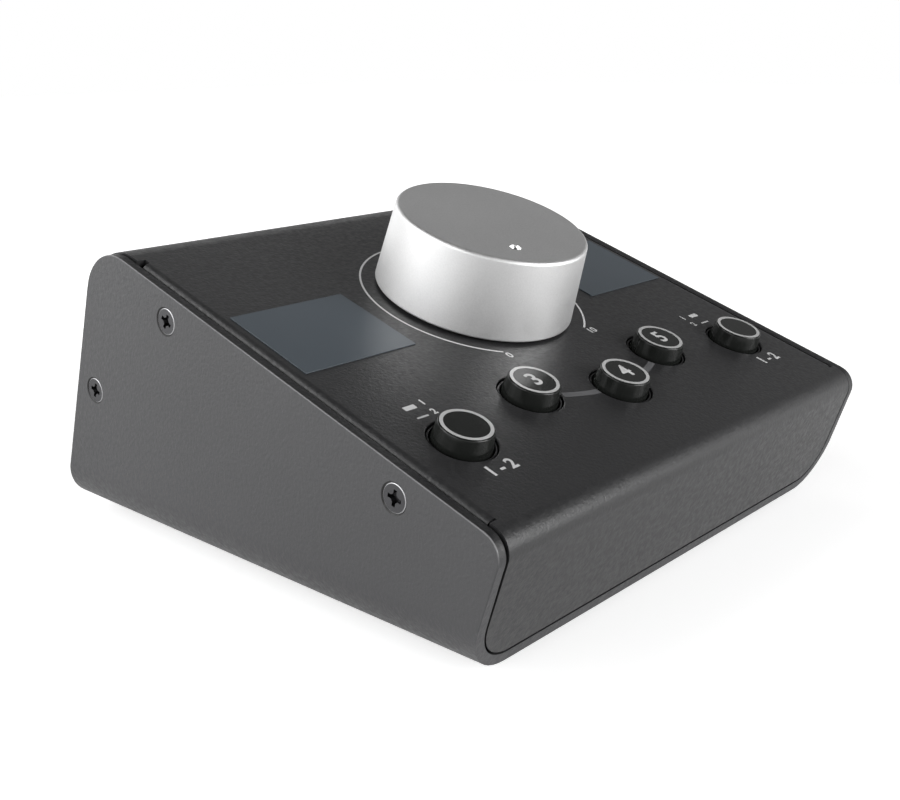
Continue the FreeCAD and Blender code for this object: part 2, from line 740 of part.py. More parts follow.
def make_potentiometer():
    body = block("pot_block", "pot_size", "pot_size", "board_depth - cover_sheet", PANEL,
                 0, "knob_along", "board_top")
    well = rod("pot_well", "shaft_radius + shaft_play", "board_depth", PANEL,
               0, "knob_along", "shaft_bottom")
    piece(cut("pot_housing", body, [well]), "pot_housing")
    bushing = turned("pot_bushing", [
        ("shaft_radius + shaft_play", "-cover_sheet"),
        ("bushing_radius", "-cover_sheet"),
        ("bushing_radius", "bushing_top"),
        ("shaft_radius + shaft_play", "bushing_top"),
    ])
    piece(place(bushing, PANEL, 0, "knob_along", 0), "pot_bushing")
    shaft = turned("pot_shaft", [
        ("0", "shaft_bottom + shaft_end_play"),
        ("shaft_radius", "shaft_bottom + shaft_end_play"),
        ("shaft_radius", "shaft_top"),
        ("0", "shaft_top"),
    ])
    piece(place(shaft, PANEL, 0, "knob_along", 0), "pot_shaft")
    washer = turned("pot_washer", [
        ("bushing_radius + core_play", "0"),
        ("washer_radius", "0"),
        ("washer_radius", "washer_sheet"),
        ("bushing_radius + core_play", "washer_sheet"),
    ])
    piece(place(washer, PANEL, 0, "knob_along", 0), "pot_washer")
    nut = hex_nut("pot_nut", "nut_radius", "nut_height", "bushing_radius + core_play",
                  PANEL, 0, "knob_along", "washer_sheet")
    piece(nut, "pot_nut")
    pins = []
    for row in (-1, 1):
        for column in (-1, 0, 1):
            pins.append(block(f"pot_pin_{len(pins)}", "pot_pin_size", "pot_pin_size", "pot_pin_length", PANEL,
                              f"{column} * pot_pin_pitch", f"knob_along + {row} * pot_pin_pitch",
                              "board_top - pot_pin_length"))
    piece(group("pot_pins", pins), "pot_pins")
    return pins


def hex_nut(name, radius, height, bore, frame, x, along, up, turn="up"):
    """A hexagon nut, placed by the middle of its underside."""
    blank = bind(doc.addObject("Part::Prism", name + "_blank"), Circumradius=radius, Height=height)
    blank.Polygon = 6
    place(blank, frame, x, along, up, turn)
    hole = bind(doc.addObject("Part::Cylinder", name + "_bore"), Radius=bore, Height=f"3 * {height}")
    place(hole, frame, x, along, up, turn, 0, f"-({height})")
    return cut(name, blank, [hole])


# ---------------------------------------------------------------- push buttons
def buttons():
    """Name, place across and place along the slope of each push button, from left to right."""
    return (
        ("source", "-select_offset", "select_along"),
        ("mono", "-mono_offset", "mono_along"),
        ("mute", "0", "mute_along"),
        ("dim", "mono_offset", "mono_along"),
        ("monitor", "select_offset", "select_along"),
    )


def make_button(name, x, along):
    cap = turned(name + "_cap_blank", [
        ("0", "-button_boss_drop"),
        ("button_boss_radius", "-button_boss_drop"),
        ("button_boss_radius", "button_top - button_wall"),
        ("button_face_radius - button_wall", "button_top - button_wall"),
        ("button_skirt_radius - button_wall", "-button_skirt_drop"),
        ("button_skirt_radius", "-button_skirt_drop"),
        ("button_waist_radius", "0"),
        ("button_face_radius", "button_top - button_edge"),
        ("button_face_radius - button_edge", "button_top"),
        ("0", "button_top"),
    ])
    place(cap, PANEL, x, along, 0)
    socket = block(name + "_socket", "plunger_size", "plunger_size", "2 * plunger_socket", PANEL,
                   x, along, "plunger_top - 2 * plunger_socket")
    piece(cut(name + "_cap", cap, [socket]), name + "_cap")
    plunger = block(name + "_plunger", "plunger_size", "plunger_size", "plunger_top - plunger_bottom", PANEL,
                    x, along, "plunger_bottom")
    piece(plunger, name + "_plunger")
    body = block(name + "_switch_block", "switch_size", "switch_size", "switch_height", PANEL,
                 x, along, "board_top")
    slot = block(name + "_switch_slot", "plunger_size + 2 * plunger_play", "plunger_size + 2 * plunger_play",
                 "2 * switch_height", PANEL, x, along, "board_top + spring_clear")
    piece(cut(name + "_switch", body, [slot]), name + "_switch")
    piece(make_spring(name, x, along), name + "_spring")
    collar = turned(name + "_collar", [
        ("collar_bore", "-cover_sheet - collar_flange_sheet"),
        ("collar_flange", "-cover_sheet - collar_flange_sheet"),
        ("collar_flange", "-cover_sheet"),
        ("collar_tube", "-cover_sheet"),
        ("collar_tube", "-collar_sink"),
        ("collar_bore", "-collar_sink"),
    ])
    piece(place(collar, PANEL, x, along, 0), name + "_collar")


def make_spring(name, x, along):
    """A return spring, wound round the plunger between the cap's boss and the switch."""
    body = doc.addObject("PartDesign::Body", name + "_spring")
    wire = new_sketch(body, "XZ_Plane", name + "_spring_wire")
    item = wire.addGeometry(Part.Circle(FreeCAD.Vector(number("spring_radius"), 0, 0),
                                        FreeCAD.Vector(0, 0, 1), number("spring_wire")), False)
    for kind, target, text in (("DistanceX", (-1, 1, item, 3), "spring_radius"),
                               ("Radius", (item,), "spring_wire")):
        rule = wire.addConstraint(Sketcher.Constraint(kind, *target, number(text)))
        wire.renameConstraint(rule, kind)
        wire.setExpression(f"Constraints.{kind}", formula(text))
    wire.addConstraint(Sketcher.Constraint("PointOnObject", item, 3, -1))
    coil = body.newObject("PartDesign::AdditiveHelix", name + "_spring_coil")
    coil.Profile = wire
    coil.ReferenceAxis = (wire, ["V_Axis"])
    coil.Mode = "height-turns-angle"
    bind(coil, Height="spring_length - 2 * spring_wire", Turns="spring_turns")
    return place(body, PANEL, x, along, "switch_top + spring_clear + spring_wire")


# ---------------------------------------------------------------- control board under the top
def standoffs():
    return [(f"{side} * {x}", along) for side in (-1, 1) for x, along in (
        ("standoff_front_offset", "standoff_front_along"),
        ("standoff_rear_offset", "standoff_rear_along"))]


def make_control_board(pot_pins):
    length = "board_end - board_start"
    board = block("control_board_blank", "2 * board_half_width", length, "board_sheet", PANEL,
                  0, f"board_start + ({length}) / 2", "board_bottom")
    holes = []
    posts = []
    screws = []
    for index, (x, along) in enumerate(standoffs()):
        holes.append(rod(f"board_hole_{index}", "board_screw_radius + 2 * screw_play", "3 * board_sheet",
                         PANEL, x, along, "board_bottom - board_sheet"))
        post = turned(f"standoff_{index}", [
            ("standoff_bore", "board_top"),
            ("standoff_radius", "board_top"),
            ("standoff_radius", "-cover_sheet"),
            ("standoff_bore", "-cover_sheet"),
        ])
        posts.append(place(post, PANEL, x, along, 0))
        screw = turned(f"board_screw_{index}", [
            ("0", "board_bottom - board_screw_head_height"),
            ("board_screw_head", "board_bottom - board_screw_head_height"),
            ("board_screw_head", "board_bottom"),
            ("board_screw_radius", "board_bottom"),
            ("board_screw_radius", "board_bottom + board_screw_length"),
            ("0", "board_bottom + board_screw_length"),
        ])
        screws.append(place(screw, PANEL, x, along, 0))
    for index, pin in enumerate(pot_pins):
        row, column = divmod(index, 3)
        holes.append(block(f"board_pin_hole_{index}", "pot_pin_size + screw_play",
                           "pot_pin_size + screw_play", "3 * board_sheet", PANEL,
                           f"{column - 1} * pot_pin_pitch", f"knob_along + {2 * row - 1} * pot_pin_pitch",
                           "board_bottom - board_sheet"))
    piece(cut("control_board", board, holes), "control_board")
    piece(group("board_standoffs", posts), "board_standoffs")
    piece(group("board_screws", screws), "board_screws")


# ---------------------------------------------------------------- jack sockets on the back
def jacks():
    """Name, place across and depth below the panel of each jack, from the object's left to its right."""
    rows = (("left", "jack_upper_drop"), ("right", "jack_lower_drop"))
    columns = (
        ("source_a", "-jack_outer_offset"),
        ("source_b", "-jack_inner_offset"),
        ("monitor_a", "jack_inner_offset"),
        ("monitor_b", "jack_outer_offset"),
    )
    return [(f"{name}_{row}_jack", x, drop) for name, x in columns for row, drop in rows]


def make_jacks():
    nuts = []
    washers = []
    for name, x, drop in jacks():
        spot = (PANEL, x, "jack_back", f"-({drop})")
        housing = block(name + "_housing", "jack_housing_width", "jack_housing_height", "jack_housing_depth",
                        *spot, "back")
        mouth = "jack_housing_depth + cover_sheet + jack_bushing_out"
        bushing = turned(name + "_bushing", [
            ("0", "jack_housing_depth / 2"),
            ("jack_bushing_radius", "jack_housing_depth / 2"),
            ("jack_bushing_radius", f"{mouth} - jack_bushing_edge"),
            ("jack_bushing_radius - jack_bushing_edge", mouth),
            ("0", mouth),
        ])
        place(bushing, *spot, "back")
        bore = rod(name + "_bore", "jack_bore_radius", "2 * jack_housing_depth", PANEL,
                   x, "jack_back + jack_bore_end", spot[3], "back")
        piece(cut(name, joined(name + "_block", [housing, bushing]), [bore]), name)
        washer = turned(name + "_washer", [
            ("jack_bushing_radius + jack_nut_play", "0"),
            ("jack_washer_radius", "0"),
            ("jack_washer_radius", "jack_washer_sheet"),
            ("jack_bushing_radius + jack_nut_play", "jack_washer_sheet"),
        ])
        washers.append(place(washer, PANEL, x, "slope_length", spot[3], "back"))
        nuts.append(hex_nut(name + "_nut", "jack_nut_radius", "jack_nut_height",
                            "jack_bushing_radius + jack_nut_play", PANEL, x,
                            "slope_length + jack_washer_sheet", spot[3], "back"))
    piece(group("jack_nuts", nuts), "jack_nuts")
    piece(group("jack_washers", washers), "jack_washers")
    board = block("jack_board", "2 * jack_board_half_width", "board_sheet", "jack_board_low - jack_board_top",
                  PANEL, 0, "jack_back - board_sheet / 2", "-jack_board_low")
    piece(board, "jack_board")


# ---------------------------------------------------------------- flat cable between the two boards
def make_ribbon():
    level = "ribbon_level - ribbon_bend"
    upper = block("control_header", "header_length", "header_width", "header_height", PANEL,
                  0, "header_along", "ribbon_top")
    piece(upper, "control_header")
    lower = block("jack_header", "header_length", "header_width", "header_height", PANEL,
                  0, "jack_board_front - header_height", level, "back")
    piece(lower, "jack_header")
    cable = doc.addObject("PartDesign::Body", "ribbon_strip")
    near = "header_along - ribbon_sheet / 2"
    far = "header_along + ribbon_sheet / 2"
    middle = "header_along + ribbon_bend"
    end = "jack_board_front - header_height"
    pad(cable, "YZ_Plane", [[
        (near, "ribbon_top"),
        (near, "ribbon_level", "ribbon_bend + ribbon_sheet / 2"),
        (middle, f"{level} - ribbon_sheet / 2"),
        (end, f"{level} - ribbon_sheet / 2"),
        (end, f"{level} + ribbon_sheet / 2"),
        (middle, f"{level} + ribbon_sheet / 2", "-(ribbon_bend - ribbon_sheet / 2)"),
        (far, "ribbon_level"),
        (far, "ribbon_top"),
    ]], "ribbon_width")
    piece(place(cable, PANEL), "ribbon_cable")


def export():
    """Check every object of the document, then write each sub-part's shape to its own file."""
    sheet.clear("D1")
    doc.recompute()
    faulty = [item.Name for item in doc.Objects if {"Invalid", "Error"} & set(item.State)]
    if faulty:
        raise RuntimeError(f"failed objects: {faulty}")
    for thing in pieces:
        if thing.Shape.isNull() or not thing.Shape.isValid() or not thing.Shape.Solids:
            raise RuntimeError(f"bad shape: {thing.Label}")
    os.makedirs("parts", exist_ok=True)
    for thing in pieces:
        thing.Shape.exportStep(f"parts/{thing.Label}.step")
    print(f"{len(pieces)} sub-parts, {sum(len(thing.Shape.Solids) for thing in pieces)} solids")


make_base_chassis()
make_top_cover()
make_side_screws()
make_feet()
make_label_plates()
make_knob()
pins = make_potentiometer()
for button_name, across, along_slope in buttons():
    make_button(button_name, across, along_slope)
make_control_board(pins)
make_jacks()
make_ribbon()
export()
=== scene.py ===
# %% [markdown]
# # A studio monitor controller for the desk
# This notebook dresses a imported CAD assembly: a wedge of folded steel with a big turned volume knob, five
# push buttons and a row of jack sockets behind. The CAD model is the fixed frame. It says where every piece
# is and what it rides on, so here we only give the pieces their edges, their finishes and their printed
# marks. Everything is in metres, +Z is up and the user sits at -Y.

import json
import math

import bmesh
import bpy
from mathutils import Matrix, Vector


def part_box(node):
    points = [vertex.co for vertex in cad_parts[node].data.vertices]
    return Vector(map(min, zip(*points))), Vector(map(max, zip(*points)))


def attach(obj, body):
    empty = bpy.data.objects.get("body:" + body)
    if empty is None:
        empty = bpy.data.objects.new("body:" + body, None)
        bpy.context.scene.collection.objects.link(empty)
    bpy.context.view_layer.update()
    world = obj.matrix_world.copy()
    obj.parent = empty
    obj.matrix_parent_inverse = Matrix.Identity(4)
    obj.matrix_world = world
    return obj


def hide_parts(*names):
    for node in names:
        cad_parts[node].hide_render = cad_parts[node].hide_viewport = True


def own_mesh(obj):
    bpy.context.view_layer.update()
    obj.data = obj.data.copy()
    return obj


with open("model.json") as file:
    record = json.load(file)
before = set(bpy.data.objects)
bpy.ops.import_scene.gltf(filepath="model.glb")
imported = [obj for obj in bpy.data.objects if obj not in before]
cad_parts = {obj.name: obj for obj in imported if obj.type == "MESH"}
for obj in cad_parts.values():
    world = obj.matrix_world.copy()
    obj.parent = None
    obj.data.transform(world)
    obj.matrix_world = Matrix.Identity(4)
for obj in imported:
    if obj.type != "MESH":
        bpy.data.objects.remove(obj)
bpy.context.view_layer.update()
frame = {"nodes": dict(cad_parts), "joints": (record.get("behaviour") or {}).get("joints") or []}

# %% [markdown]
# ## The sloping panel
# Nearly everything sits on the sloping top, so we want its own axes: x across, y up the slope, z out of the
# paint. We could type the slope in, but the volume knob's joint already holds it: its axis points straight
# into the panel. Reading it from the record keeps the looks in step with the CAD model.

# %% Panel axes from the volume knob's joint
MM = 0.001
TOUCH = 1e-5
KNOB_ALONG, KNOB_OUT = 74.4, 10
BUTTONS = {
    "source": (-53.7, 27.95),
    "mono": (-25.012, 33.901),
    "mute": (0.0, 26.8),
    "dim": (25.012, 33.901),
    "monitor": (53.7, 27.95),
}

knob_joint = next(joint for joint in frame["joints"] if joint["name"] == "knob_turn")
into_panel = Vector(knob_joint["axis"])
out_of_panel = -into_panel
slope = math.atan2(into_panel.y, -into_panel.z)
tilt = Matrix.Rotation(slope, 4, "X")
panel_origin = Vector(knob_joint["pos_m"]) - tilt @ Vector((0, KNOB_ALONG * MM, KNOB_OUT * MM))
PANEL = Matrix.Translation(panel_origin) @ tilt
print("panel slope", round(math.degrees(slope), 2), "degrees, origin", panel_origin[:])

# %% [markdown]
# ## Small helpers
# Operators act on whatever is selected, and the frame arrives selected. So each piece starts with nothing
# else selected. When a piece is done, its place goes into its mesh: a finish that reads object coordinates
# then stays put when the piece is moved by a joint.

# %% Selecting and settling
def nothing():
    bpy.ops.object.select_all(action="DESELECT")


def only(piece):
    """Select one piece and make it active."""
    nothing()
    piece.select_set(True)
    bpy.context.view_layer.objects.active = piece


def rename(piece, name):
    piece.name = name
    piece.data.name = name
    return piece


def named(name):
    """Name the piece that was just added, and its mesh."""
    return rename(bpy.context.active_object, name)


def bake_place():
    """Put the selected piece's place, turn and size into its mesh."""
    bpy.ops.object.transform_apply(location=True, rotation=True, scale=True)


def settle(piece, x, along, up):
    """Move a piece made about the origin to its place on the panel, and put that place into its mesh."""
    piece.matrix_world = PANEL @ Matrix.Translation(Vector((x, along, up)) * MM) @ piece.matrix_world
    only(piece)
    bake_place()
    return piece


def finish_piece(piece, body, slot, finish, *stands_for):
    """Give a piece its finish, hang it on its body and let it stand for CAD nodes."""
    piece.data.materials.clear()
    piece.data.materials.append(finish)
    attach(piece, body)
    if stands_for:
        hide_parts(*stands_for)
    return piece


# %% Picking faces and edges by their place
def mode(name, elements=None):
    bpy.ops.object.mode_set(mode=name)
    if elements:
        bpy.ops.mesh.select_mode(type=elements)


def unselected(piece):
    """In edit mode, the piece's mesh with nothing selected."""
    mesh = bmesh.from_edit_mesh(piece.data)
    mesh.normal_update()
    for element in (*mesh.faces, *mesh.edges, *mesh.verts):
        element.select_set(False)
    return mesh


def select_faces(piece, wanted):
    """In edit mode, select only the faces for which wanted(centre, normal) is true."""
    for face in unselected(piece).faces:
        if wanted(face.calc_center_median(), face.normal):
            face.select_set(True)
    bmesh.update_edit_mesh(piece.data)


def select_edges(piece, wanted, sharp=0):
    """In edit mode, select only the edges for which wanted(first end, second end) is true, if they turn by
    more than sharp degrees."""
    count = 0
    for edge in unselected(piece).edges:
        turns = edge.calc_face_angle(0.0) >= math.radians(sharp)
        if turns and wanted(edge.verts[0].co, edge.verts[1].co):
            edge.select_set(True)
            count += 1
    bmesh.update_edit_mesh(piece.data)
    return count


# %% Rounding edges, applying modifiers and shading
def bevel(radius, segments, clamp=True):
    """Round the selected edges by a radius in millimetres."""
    settings = {} if clamp else {"clamp_overlap": False}
    bpy.ops.mesh.bevel(offset=radius * MM, segments=segments, affect="EDGES", **settings)


def modify(piece, kind, label, **settings):
    """Add a modifier, set it and apply it."""
    only(piece)
    step = piece.modifiers.new(label, kind)
    for key, value in settings.items():
        setattr(step, key, value)
    bpy.ops.object.modifier_apply(modifier=step.name)


def smooth(piece, degrees=35):
    """Shade smooth below an angle, and let the large flat faces rule the normals, so they stay flat."""
    only(piece)
    bpy.ops.object.shade_smooth_by_angle(angle=math.radians(degrees))
    modify(piece, "WEIGHTED_NORMAL", "flat faces", keep_sharp=True)


# %% [markdown]
# ## Shader building blocks
# A material is a handful of nodes, and wiring them by hand is long-winded. These helpers add a node, set
# what it needs and link it. Effects that several finishes share become node groups: they put out masks,
# colours and heights, and each material feeds them to its own Principled shader.

# %% Node helpers
FLOAT, VECTOR = "NodeSocketFloat", "NodeSocketVector"


def feed(tree, node, sockets):
    """Link or set a node's input sockets, each found by its name or its number."""
    for socket, value in sockets.items():
        if isinstance(value, bpy.types.NodeSocket):
            tree.links.new(value, node.inputs[socket])
        else:
            node.inputs[socket].default_value = value


def add(tree, kind, label="", sockets=None, **settings):
    """Add a node, set its attributes and feed its sockets."""
    node = tree.nodes.new(kind)
    node.label = label
    for key, value in settings.items():
        setattr(node, key, value)
    feed(tree, node, sockets or {})
    return node


def calculate(tree, operation, label, *values):
    """The result of a Math node."""
    return add(tree, "ShaderNodeMath", label, dict(enumerate(values)), operation=operation).outputs[0]


def mixed(tree, label, mask, dark, light):
    """A colour between two others, by a mask."""
    blend = add(tree, "ShaderNodeMix", label, {0: mask}, data_type="RGBA")
    feed(tree, blend, {6: dark, 7: light})
    return blend.outputs[2]


def ramp_of(tree, value, start, end, label):
    """A mask that climbs from 0 at start to 1 at end."""
    climb = add(tree, "ShaderNodeMapRange", label, {"Value": value, "From Min": start, "From Max": end})
    return climb.outputs["Result"]


def new_group(name, inputs, outputs):
    """An empty node group with named sockets, and its two end nodes."""
    group = bpy.data.node_groups.new(name, "ShaderNodeTree")
    group.interface.new_socket("Place", in_out="INPUT", socket_type=VECTOR)
    for socket, value in inputs.items():
        group.interface.new_socket(socket, in_out="INPUT", socket_type=FLOAT).default_value = value
    for socket in outputs:
        group.interface.new_socket(socket, in_out="OUTPUT", socket_type=FLOAT)
    return group, group.nodes.new("NodeGroupInput").outputs, group.nodes.new("NodeGroupOutput")


def use_group(tree, group, sockets):
    """A group's outputs, in a material."""
    return add(tree, "ShaderNodeGroup", group.name, sockets, node_tree=group).outputs


def new_finish(name):
    """A material with its shader and its object coordinates."""
    finish = bpy.data.materials.new(name)
    finish.use_nodes = True
    tree = finish.node_tree
    tree.nodes.clear()
    shader = add(tree, "ShaderNodeBsdfPrincipled")
    add(tree, "ShaderNodeOutputMaterial", "", {"Surface": shader.outputs["BSDF"]})
    return finish, tree, shader, add(tree, "ShaderNodeTexCoord").outputs["Object"]


# %% Three things that nearly every finish does
def tone_by(tree, shader, mask, dark, light):
    """Let a mask shift the colour between two tones."""
    feed(tree, shader, {"Base Color": mixed(tree, "tone", mask, (*dark, 1), (*light, 1))})


def roughen_by(tree, shader, noise, low, high):
    """Let a noise, which mostly lies between 0.3 and 0.7, spread the roughness."""
    spread = add(tree, "ShaderNodeMapRange", "roughness", {
        "Value": noise, "From Min": 0.3, "From Max": 0.7, "To Min": low, "To Max": high})
    feed(tree, shader, {"Roughness": spread.outputs["Result"]})


def raise_by(tree, shader, height, strength, depth):
    """Let a height raise a bump as deep as a depth in metres."""
    relief = add(tree, "ShaderNodeBump", "relief", {
        "Height": height, "Strength": strength, "Distance": depth})
    feed(tree, shader, {"Normal": relief.outputs["Normal"]})


# %% [markdown]
# ## Powder coat
# Baked powder coat is never quite flat. The melted grains leave a fine orange-peel texture, a fraction of a
# millimetre across, with a satin sheen that breaks up at grazing angles, and slight drifts in tone over
# centimetres. Three noises at three scales do it: grain for the bump, flecks for the roughness and a slow
# drift for the colour.

# %% Group: grain of a coated or moulded surface
grain_group, grain_in, grain_out = new_group(
    "surface_grain", {"Grain size": 2600.0, "Fleck size": 900.0, "Drift": 18.0},
    ("Height", "Flecks", "Drift"))
for label, size, result, detail, roughness in (
        ("orange peel", "Grain size", "Height", 2.0, 0.55),
        ("flecks", "Fleck size", "Flecks", 1.0, 0.5),
        ("slow drift", "Drift", "Drift", 2.0, 0.5)):
    noise = add(grain_group, "ShaderNodeTexNoise", label, {
        "Vector": grain_in["Place"], "Scale": grain_in[size], "Detail": detail, "Roughness": roughness})
    feed(grain_group, grain_out, {result: noise.outputs["Fac"]})
print("group", grain_group.name)


# %% A finish made of grain
def grained(name, dark, light, rough, bump=0.15, bump_depth=0.00004, metallic=0.0,
            sizes=(2600.0, 900.0, 18.0), specular=0.5):
    """A grained surface: its colour drifts between two tones, its roughness between rough's two values."""
    finish, tree, shader, place = new_finish(name)
    group = use_group(tree, grain_group, {
        "Place": place, "Grain size": sizes[0], "Fleck size": sizes[1], "Drift": sizes[2]})
    half = calculate(tree, "MULTIPLY", "half the flecks", group["Flecks"], 0.5)
    blend = calculate(tree, "MULTIPLY_ADD", "drift and flecks", group["Drift"], 0.5, half)
    tone_by(tree, shader, blend, dark, light)
    roughen_by(tree, shader, group["Flecks"], *rough)
    raise_by(tree, shader, group["Height"], bump, bump_depth)
    feed(tree, shader, {"Metallic": metallic, "Specular IOR Level": specular})
    return finish


# %% Change a finish where a mask says so
def parts_of(finish):
    """A finish's tree, its shader and its object coordinates."""
    tree = finish.node_tree
    shader = next(node for node in tree.nodes if node.type == "BSDF_PRINCIPLED")
    place = next(node for node in tree.nodes if node.type == "TEX_COORD").outputs["Object"]
    return tree, shader, place


def swap_where(finish, mask, colour, rough=None):
    """Where a mask is 1, swap a finish's colour and its roughness."""
    tree, shader, place = parts_of(finish)
    before = {socket: shader.inputs[socket].links[0].from_socket for socket in ("Base Color", "Roughness")}
    feed(tree, shader, {"Base Color": mixed(tree, "base color", mask, before["Base Color"], (*colour, 1))})
    if rough is not None:
        swap = add(tree, "ShaderNodeMix", "roughness", {0: mask, 2: before["Roughness"], 3: rough})
        feed(tree, shader, {"Roughness": swap.outputs[0]})


# %% [markdown]
# ## Two coats
# The two coats differ a little in sheen, and the case's is given a lighter tone than the cover's: that tone
# step is painted light, standing for the walls being lit more strongly than the top. Along the top of a side
# wall the cut edge is darkened as painted shade, and a pale line along the outer corner is a painted
# highlight. Those lines could be painted on a map, but they follow from the place alone: how far a point is
# from the middle, and how high over the panel. So they are two masks.

# %% The case's coat: painted shade on the cut edges, painted highlight along the corner
WALL = {"outer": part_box("base_chassis")[1][0], "sheet": 2.3, "roll": 0.3}


def paint_wall_edge_light(finish):
    """Darken the cut edge of each side wall along its top as painted shade, and brighten a line along its
    outer corner as a painted highlight.
    """
    tree, shader, place = parts_of(finish)
    across = add(tree, "ShaderNodeSeparateXYZ", "across", {"Vector": place})
    side = calculate(tree, "ABSOLUTE", "from the middle", across.outputs["X"])
    height = add(tree, "ShaderNodeVectorMath", "height over the panel", {0: place, 1: out_of_panel},
                 operation="DOT_PRODUCT")
    level = PANEL.translation.dot(out_of_panel)
    topside = ramp_of(tree, height.outputs["Value"], level - 6 * MM, level - 2 * MM, "only along the top")

    def along_top(start, end, label):
        """A mask across the wall's thickness, from start to end millimetres in from its outer face."""
        ramp = ramp_of(tree, side, WALL["outer"] - start * MM, WALL["outer"] - end * MM, label)
        return calculate(tree, "MULTIPLY", label, ramp, topside)

    # Painted shade: the cut edge along the wall's top is made near black.
    swap_where(finish, along_top(0.12, 0.3, "cut edge"), colour=(0.014, 0.014, 0.015))
    # Painted highlight: a pale, smoother line along the wall's outer top corner.
    corner = calculate(tree, "MULTIPLY", "corner", along_top(0.3, 0.2, "into the corner"),
                       along_top(0.01, 0.08, "out of it"))
    swap_where(finish, corner, colour=(0.22, 0.22, 0.225), rough=0.35)


COAT = {"bump_depth": 0.00016, "sizes": (1300.0, 800.0, 18.0)}
# The case coat is lighter than the cover coat: painted light, standing for the strongly lit walls.
case_coat = grained("case_powder_coat", (0.036, 0.036, 0.038), (0.063, 0.063, 0.066), (0.38, 0.56),
                    bump=0.65, **COAT)
paint_wall_edge_light(case_coat)
cover_coat = grained("cover_powder_coat", (0.018, 0.018, 0.019), (0.032, 0.032, 0.033), (0.3, 0.46),
                     bump=0.45, **COAT)
print("wall's outer face at", round(WALL["outer"] / MM, 2), "mm")

# %% [markdown]
# ## The two folded sheets
# Case and cover are laser-cut and folded sheet, and no cut edge on a coated sheet is sharp: the coat rolls
# over it in a radius of a few tenths. That little radius is what draws the thin bright lines along the
# edges. The CAD sheet has sharp edges, and a CAD node's mesh must stay as it is, so we copy it, merge its
# loose triangles back into flat faces and bevel whatever still turns sharply. A bevel modifier has to fit
# the smallest face of a mesh, so the edges that show most, on the walls and the button holes, are picked
# by place and bevelled in edit mode first.

# %% A copy of a CAD piece with eased edges
def eased(node, name, radius, shape=None):
    """Copy a CAD node, merge its triangles, shape it and round its sharp edges by a radius."""
    copy = bpy.data.objects.new(name, frame["nodes"][node].data.copy())
    bpy.context.scene.collection.objects.link(copy)
    copy.data.name = name
    only(copy)
    mode("EDIT")
    bpy.ops.mesh.select_all(action="SELECT")
    bpy.ops.mesh.remove_doubles(threshold=1e-6)
    bpy.ops.mesh.dissolve_limited(angle_limit=math.radians(0.3))
    if shape:
        shape(copy)
    mode("OBJECT")
    if radius:
        modify(copy, "BEVEL", "eased edges", width=radius * MM, segments=2, limit_method="ANGLE",
               angle_limit=math.radians(40), miter_outer="MITER_ARC")
    smooth(copy, 40)
    print(name, len(copy.data.polygons), "faces")
    return copy


# %% Where the screws sit
def head_centres(node, apart=8):
    """The middle of each screw head's face: the points that lie furthest out, gathered by nearness."""
    points = [vert.co.copy() for vert in frame["nodes"][node].data.vertices]
    reach = max(abs(point.x) for point in points)
    faces = [point for point in points if abs(point.x) > reach - TOUCH]
    centres = []
    for point in faces:
        if all((point - known).length > apart * MM for known in centres):
            near = [other for other in faces if (other - point).length < apart * MM]
            low, high = (Vector([end(other[axis] for other in near) for axis in range(3)])
                         for end in (min, max))
            centres.append((low + high) / 2)
    return centres


HEADS = head_centres("side_screws")
print(len(HEADS), "screw heads")


# %% Where the edges show, the coat rolls over further
def roll_outline(piece, clearance=6):
    """Round both long edges of the side walls, all round their outline but not at the screw holes."""
    planes = (WALL["outer"], WALL["outer"] - WALL["sheet"] * MM)

    def on_wall(a, b):
        middle = (a + b) / 2
        clear = all((middle - head).length > clearance * MM for head in HEADS)
        return clear and any(max(abs(abs(end.x) - plane) for end in (a, b)) < TOUCH for plane in planes)

    count = select_edges(piece, on_wall, sharp=40)
    bevel(WALL["roll"], 3, clamp=False)
    print("wall edges rolled", count)


def roll_holes(piece, reach=9):
    """Round the rims of the button holes, where the coat draws back from the cut."""
    to_panel = PANEL.inverted()
    middles = [Vector((x, along, 0)) * MM for x, along in BUTTONS.values()]

    def on_rim(a, b):
        level = all(abs((to_panel @ end).z) < TOUCH for end in (a, b))
        return level and any((to_panel @ a - middle).length < reach * MM for middle in middles)

    count = select_edges(piece, on_rim, sharp=60)
    bevel(WALL["roll"], 4, clamp=False)
    print("rim edges rolled", count)


case_shell = eased("base_chassis", "case_shell", 0.08, shape=roll_outline)
finish_piece(case_shell, "case", "case_paint", case_coat, "base_chassis")
cover_shell = eased("top_cover", "cover_shell", 0.1, shape=roll_holes)
finish_piece(cover_shell, "case", "cover_paint", cover_coat, "top_cover")

# %% [markdown]
# ## The volume knob
# The knob is the piece people touch and look at: a solid-looking drum of turned aluminium, slightly smaller
# at the top, with a soft rim and a little ground dimple as its pointer. It is really a cup over a plastic
# hub. A spun profile would do as well, but starting from a cylinder shows each step: taper, hollow, round,
# drill.

# %% Tools for turned pieces, in millimetres
def drum(name, radius, low, high, vertices):
    """A cylinder about the Z axis between two heights, left in edit mode."""
    nothing()
    bpy.ops.mesh.primitive_cylinder_add(
        vertices=vertices, radius=radius * MM, depth=(high - low) * MM,
        location=(0, 0, (high + low) / 2 * MM))
    piece = named(name)
    bake_place()
    mode("EDIT", "FACE")
    return piece


def select_end(piece, up=True):
    """Select the faces that look up, or those that look down."""
    select_faces(piece, lambda centre, normal: (normal.z if up else -normal.z) > 0.9)


def extrude(rise):
    bpy.ops.mesh.extrude_region_move(TRANSFORM_OT_translate={"value": (0, 0, rise * MM)})


def taper(factor, height):
    """Scale the selection about the Z axis."""
    bpy.ops.transform.resize(value=(factor, factor, 1), center_override=(0, 0, height * MM))


def inset(width):
    bpy.ops.mesh.inset(thickness=width * MM)


# %% Knob: taper a drum and hollow it
KNOB = {"foot_radius": 25.4, "top_radius": 24.1, "foot": 0.6, "top": 20.8, "bore": 22.8, "ceiling": 17.8,
        "rim_round": 0.9, "foot_round": 0.5}

